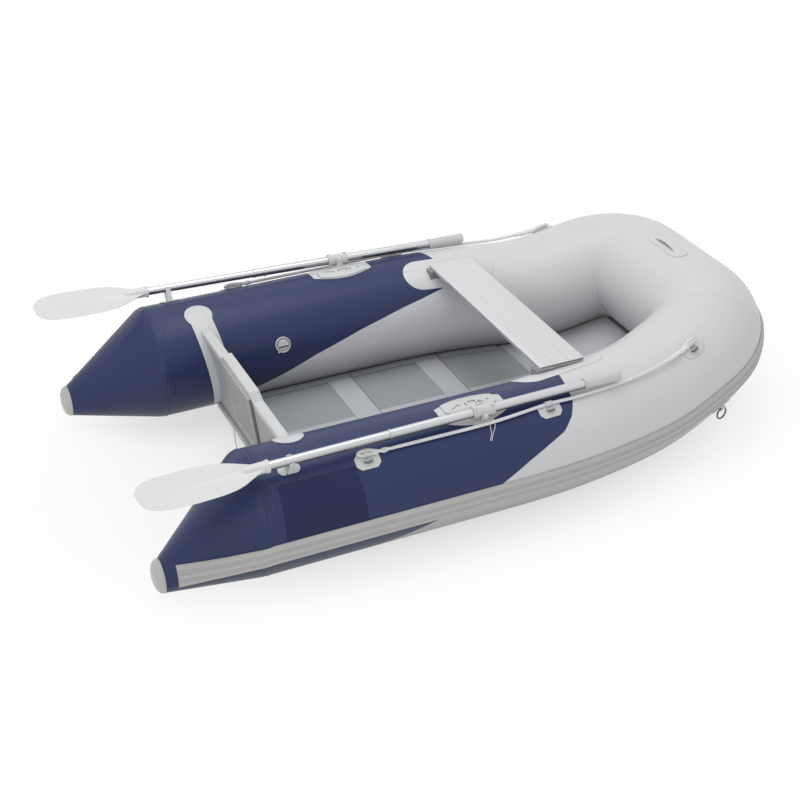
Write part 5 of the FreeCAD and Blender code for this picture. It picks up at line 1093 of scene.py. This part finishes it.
def dark_panel(side, sign):
    panel = new_shape(
        bpy.ops.mesh.primitive_cylinder_add, "dark_panel_" + side, vertices=360,
        radius=TUBE_RADIUS + PANEL_GAP, depth=PANEL_BLANK, end_fill_type="NOTHING",
        location=(PANEL_MIDDLE, sign * TUBE_OFFSET, TUBE_RADIUS), rotation=(0, math.pi / 2, 0))
    apply_place()

    def turned(place):
        return math.degrees(math.atan2(place.z - TUBE_RADIUS, sign * place.y - TUBE_OFFSET))

    pick(panel, "faces", lambda face: not PANEL_FOOT < turned(face.calc_center_median()) < PANEL_TOP)
    bpy.ops.mesh.delete(type="FACE")
    mesh = bmesh.from_edit_mesh(panel.data)
    for vertex in mesh.verts:
        share = (PANEL_TOP - turned(vertex.co)) / (PANEL_TOP - PANEL_FOOT)
        top, foot = PANEL_CORNERS["aft" if vertex.co.x < PANEL_MIDDLE else "fore"]
        vertex.co.x = top + (foot - top) * share
    bmesh.update_edit_mesh(panel.data)
    bpy.ops.mesh.select_all(action="SELECT")
    bpy.ops.mesh.subdivide(number_cuts=3)
    leave_edit()
    modifier(panel, "SOLIDIFY", thickness=PANEL_THICKNESS, offset=1)
    put(panel, Matrix.Identity(4), 30)
    return dress(panel, navy_cloth, "hull")


for side, sign in SIDES:
    tell(dark_panel(side, sign))

# %% [markdown]
# Two lengths of tube are joined by a narrow tape glued round them. It shows as
# a welt at each corner of the bow and where each stern cone begins. A short
# cylinder is the start, and its two rims are drawn in to the tube's skin, so
# that the tape has soft edges.

# %% The welts
CORNER_SEAM, CORNER_HEADING = (0.89112, 0.28113, 0.2821), (0.5956, -0.7804, 0.1901)
CONE_SEAM_AT = -0.7765
# Width of each tape, and how far it stands proud of the tube
BOW_TAPE, CONE_TAPE, TAPE_SINK = (0.010, 0.0011), (0.006, 0.0009), 0.0004


def welt(name, middle, heading, width, proud):
    """A narrow ring of cloth round a tube, with soft edges."""
    ring = new_shape(bpy.ops.mesh.primitive_cylinder_add, name, vertices=128,
                     radius=TUBE_RADIUS + proud, depth=width, end_fill_type="NOTHING")
    edit_all()
    bpy.ops.mesh.subdivide(number_cuts=2)
    pick(ring, "verts", lambda vertex: abs(vertex.co.z) > width * 0.49)
    inward = (TUBE_RADIUS - TAPE_SINK) / (TUBE_RADIUS + proud)
    bpy.ops.transform.resize(value=(inward, inward, 1), center_override=(0, 0, 0))
    leave_edit()
    turn = heading.to_track_quat("Z", "Y").to_matrix().to_4x4()
    return put(ring, Matrix.Translation(middle) @ turn, 60)


for side, sign in SIDES:
    corner, heading = (Vector((x, sign * y, z)) for x, y, z in (CORNER_SEAM, CORNER_HEADING))
    seam = welt("bow_seam_" + side, corner, heading, *BOW_TAPE)
    dress(seam, pale_cloth, "hull")
    tuck = welt("cone_seam_" + side, Vector((CONE_SEAM_AT, sign * TUBE_OFFSET, TUBE_RADIUS)),
                Vector((1, 0, 0)), *CONE_TAPE)
    dress(tuck, navy_welt, "hull")
    print(seam.name, tuck.name)

# %% [markdown]
# The seat is a hollow plank. It starts as a cube at the plank's own box. Cuts
# along it mark five shallow grooves, whose strips are extruded downwards, and
# each end is inset and pushed inwards so that the hollow shows.

# %% The seat plank
GROOVES = (-0.052, -0.026, 0.0, 0.026, 0.052)
GROOVE_HALF, GROOVE_DEPTH, GROOVE_STOP = 0.0014, 0.0008, 0.004
PLANK_WALL, PLANK_HOLLOW, PLANK_ROUNDING, END_SLACK = 0.0018, 0.012, 0.0006, 0.0005


def seat_plank():
    low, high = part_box("seat_plank")
    plank = new_shape(bpy.ops.mesh.primitive_cube_add, "seat_plank_hollow", size=1,
                      location=(low + high) / 2)
    plank.scale = high - low
    apply_place()
    middle = (low.x + high.x) / 2
    bpy.ops.object.mode_set(mode="EDIT")
    for groove in GROOVES:
        for shift in (-GROOVE_HALF, GROOVE_HALF):
            bpy.ops.mesh.select_all(action="SELECT")
            bpy.ops.mesh.bisect(plane_co=(middle + groove + shift, 0, 0), plane_no=(1, 0, 0))
    for end in (low.y + GROOVE_STOP, high.y - GROOVE_STOP):
        bpy.ops.mesh.select_all(action="SELECT")
        bpy.ops.mesh.bisect(plane_co=(0, end, 0), plane_no=(0, 1, 0))

    def in_groove(face):
        place = face.calc_center_median()
        return (face.normal.z > 0.9 and abs(place.y) < high.y - GROOVE_STOP
                and any(abs(place.x - middle - groove) < GROOVE_HALF for groove in GROOVES))

    pick(plank, "faces", in_groove)
    bpy.ops.mesh.extrude_region_move(TRANSFORM_OT_translate={"value": (0, 0, -GROOVE_DEPTH)})
    for way in (-1, 1):
        pick(plank, "faces", lambda face: face.normal.y * way > 0.9
             and abs(face.calc_center_median().y) > high.y - END_SLACK)
        bpy.ops.mesh.inset(thickness=PLANK_WALL, depth=0)
        bpy.ops.mesh.extrude_region_move(TRANSFORM_OT_translate={"value": (0, -way * PLANK_HOLLOW, 0)})
    leave_edit()
    bevel(plank, PLANK_ROUNDING, segments=2)
    return put(plank, Matrix.Identity(4))


tell(dress(seat_plank(), plank_metal, "hull", "seat_plank"))

# %% [markdown]
# The air valve is a turned rim round a sunken floor. On the floor stand a cap
# with one straight side and, below it, a slot, drawn as a dark block of painted
# shade. A little tab sits outside the rim. The turned parts come from the lathe
# helper, and the tab and the slot are small blocks with soft edges.

# %% The air valve


def block(name, size, place, rounding):
    """A cube scaled to a size, with every edge rounded."""
    piece = new_shape(bpy.ops.mesh.primitive_cube_add, name, size=1)
    piece.scale = size
    bpy.ops.object.transform_apply(location=False, rotation=False, scale=True)
    bevel(piece, rounding, segments=3)
    piece.data.transform(place)
    return piece


VALVE_STATION, VALVE_DEGREES = -0.380, 161.0
# Radius and height of each turned part, from its outer foot inwards
RIM_PROFILE = [
    (0.0268, -0.0010), (0.0270, 0.0022), (0.0264, 0.0038), (0.0250, 0.0046), (0.0232, 0.0044),
    (0.0222, 0.0034), (0.0218, 0.0016)]
CAP_PROFILE = [(0.0190, 0.0010), (0.0188, 0.0044), (0.0176, 0.0056), (0.0120, 0.0060)]
LIP_PROFILE = [(0.0205, 0.0010), (0.0203, 0.0024), (0.0195, 0.0030)]
CAP_SIDE, LIP_SIDE = -0.0035, -0.0095
TAB_SIZE, TAB_PLACE = (0.009, 0.007, 0.0026), (0.0275, 0, 0.0010)
TAB_TURN, TAB_ROUNDING = math.radians(232), 0.0011
SLOT_SIZE, SLOT_PLACE, SLOT_ROUNDING = (0.030, 0.0052, 0.0012), (0.002, -0.0064, 0.0018), 0.0004


def air_valve(side, sign):
    seat = tube_seat(VALVE_STATION, VALVE_DEGREES, 0.0, sign)
    rim = lathe("air_valve_rim_" + side, RIM_PROFILE)
    cap = lathe("air_valve_cap_" + side, CAP_PROFILE)
    for vertex in cap.data.vertices:
        vertex.co.y = max(vertex.co.y, CAP_SIDE)
    lip = lathe("air_valve_lip_" + side, LIP_PROFILE)
    for vertex in lip.data.vertices:
        vertex.co.y = min(vertex.co.y, LIP_SIDE)
    tab = block("air_valve_tab_" + side, TAB_SIZE,
                Matrix.Rotation(TAB_TURN, 4, "Z") @ Matrix.Translation(TAB_PLACE), TAB_ROUNDING)
    valve = joined("air_valve_moulding_" + side, [rim, cap, lip, tab])
    put(valve, seat)
    dress(valve, moulded, "hull", "air_valve_" + side)
    # A dark block stands in for the shade in the slot
    slot = block("air_valve_slot_" + side, SLOT_SIZE, Matrix.Translation(SLOT_PLACE), SLOT_ROUNDING)
    put(slot, seat)
    dress(slot, dark_plastic, "hull")
    return valve


# %% [markdown]
# The anchors' pads each carry a shallow oval dish under the rope, whose floor
# is painted dark as shade, and an upright ear for the rope to go round. A dish
# is turned round and then squeezed to an oval, and an ear is a thick disc stood
# on its edge.

# %% The rope anchors, and the valves and anchors of both sides
DISH_TURN, DISH_RISE, DISH_PLACE, DISH_SQUEEZE = 4.93, 0.0045, (0, 0.0035, 0), 0.56
EAR_PLACE = (0, -0.0030, -0.0060)
DISH_PROFILE = [(0.0205, -0.0012), (0.0200, 0.0014), (0.0186, 0.0028), (0.0170, 0.0028), (0.0158, 0.0014),
                (0.0152, 0.0002)]
HOLLOW_PROFILE = [(0.0164, -0.0008), (0.0160, 0.0008), (0.0040, 0.0005)]
EAR_PROFILE = [(0.0140, -0.0016), (0.0152, -0.0010), (0.0152, 0.0010), (0.0140, 0.0016)]


def anchor_dish(side, sign, number, station, degrees):
    """An oval rim on an anchor's pad, a floor inside it in painted shade and an ear over them."""
    seat = tube_seat(station, degrees - DISH_TURN, DISH_RISE, sign) @ Matrix.Translation(DISH_PLACE)
    oval = Matrix.Diagonal((1.0, DISH_SQUEEZE, 1, 1))
    upright = Matrix.Translation(EAR_PLACE) @ Matrix.Rotation(math.pi / 2, 4, "X")
    for part, material, turn, sides, profile in (
            ("dish", moulded, oval, 36, DISH_PROFILE), ("hollow", painted_hollow_shade, oval, 36, HOLLOW_PROFILE),
            ("ear", moulded, upright, 40, EAR_PROFILE)):
        piece = lathe("anchor_%s_%d_%s" % (part, number, side), profile, sides)
        put(piece, seat @ turn, 50)
        dress(piece, material, "hull")


for side, sign in SIDES:
    print(air_valve(side, sign).name)
    for number, (station, degrees) in enumerate(ANCHORS, start=1):
        anchor_dish(side, sign, number, station, degrees)

# %% [markdown]
# Last, the script updates every mesh and the view layer.

# %% The end
for piece in scene.objects:
    if piece.type == "MESH":
        piece.data.update()
bpy.context.view_layer.update()
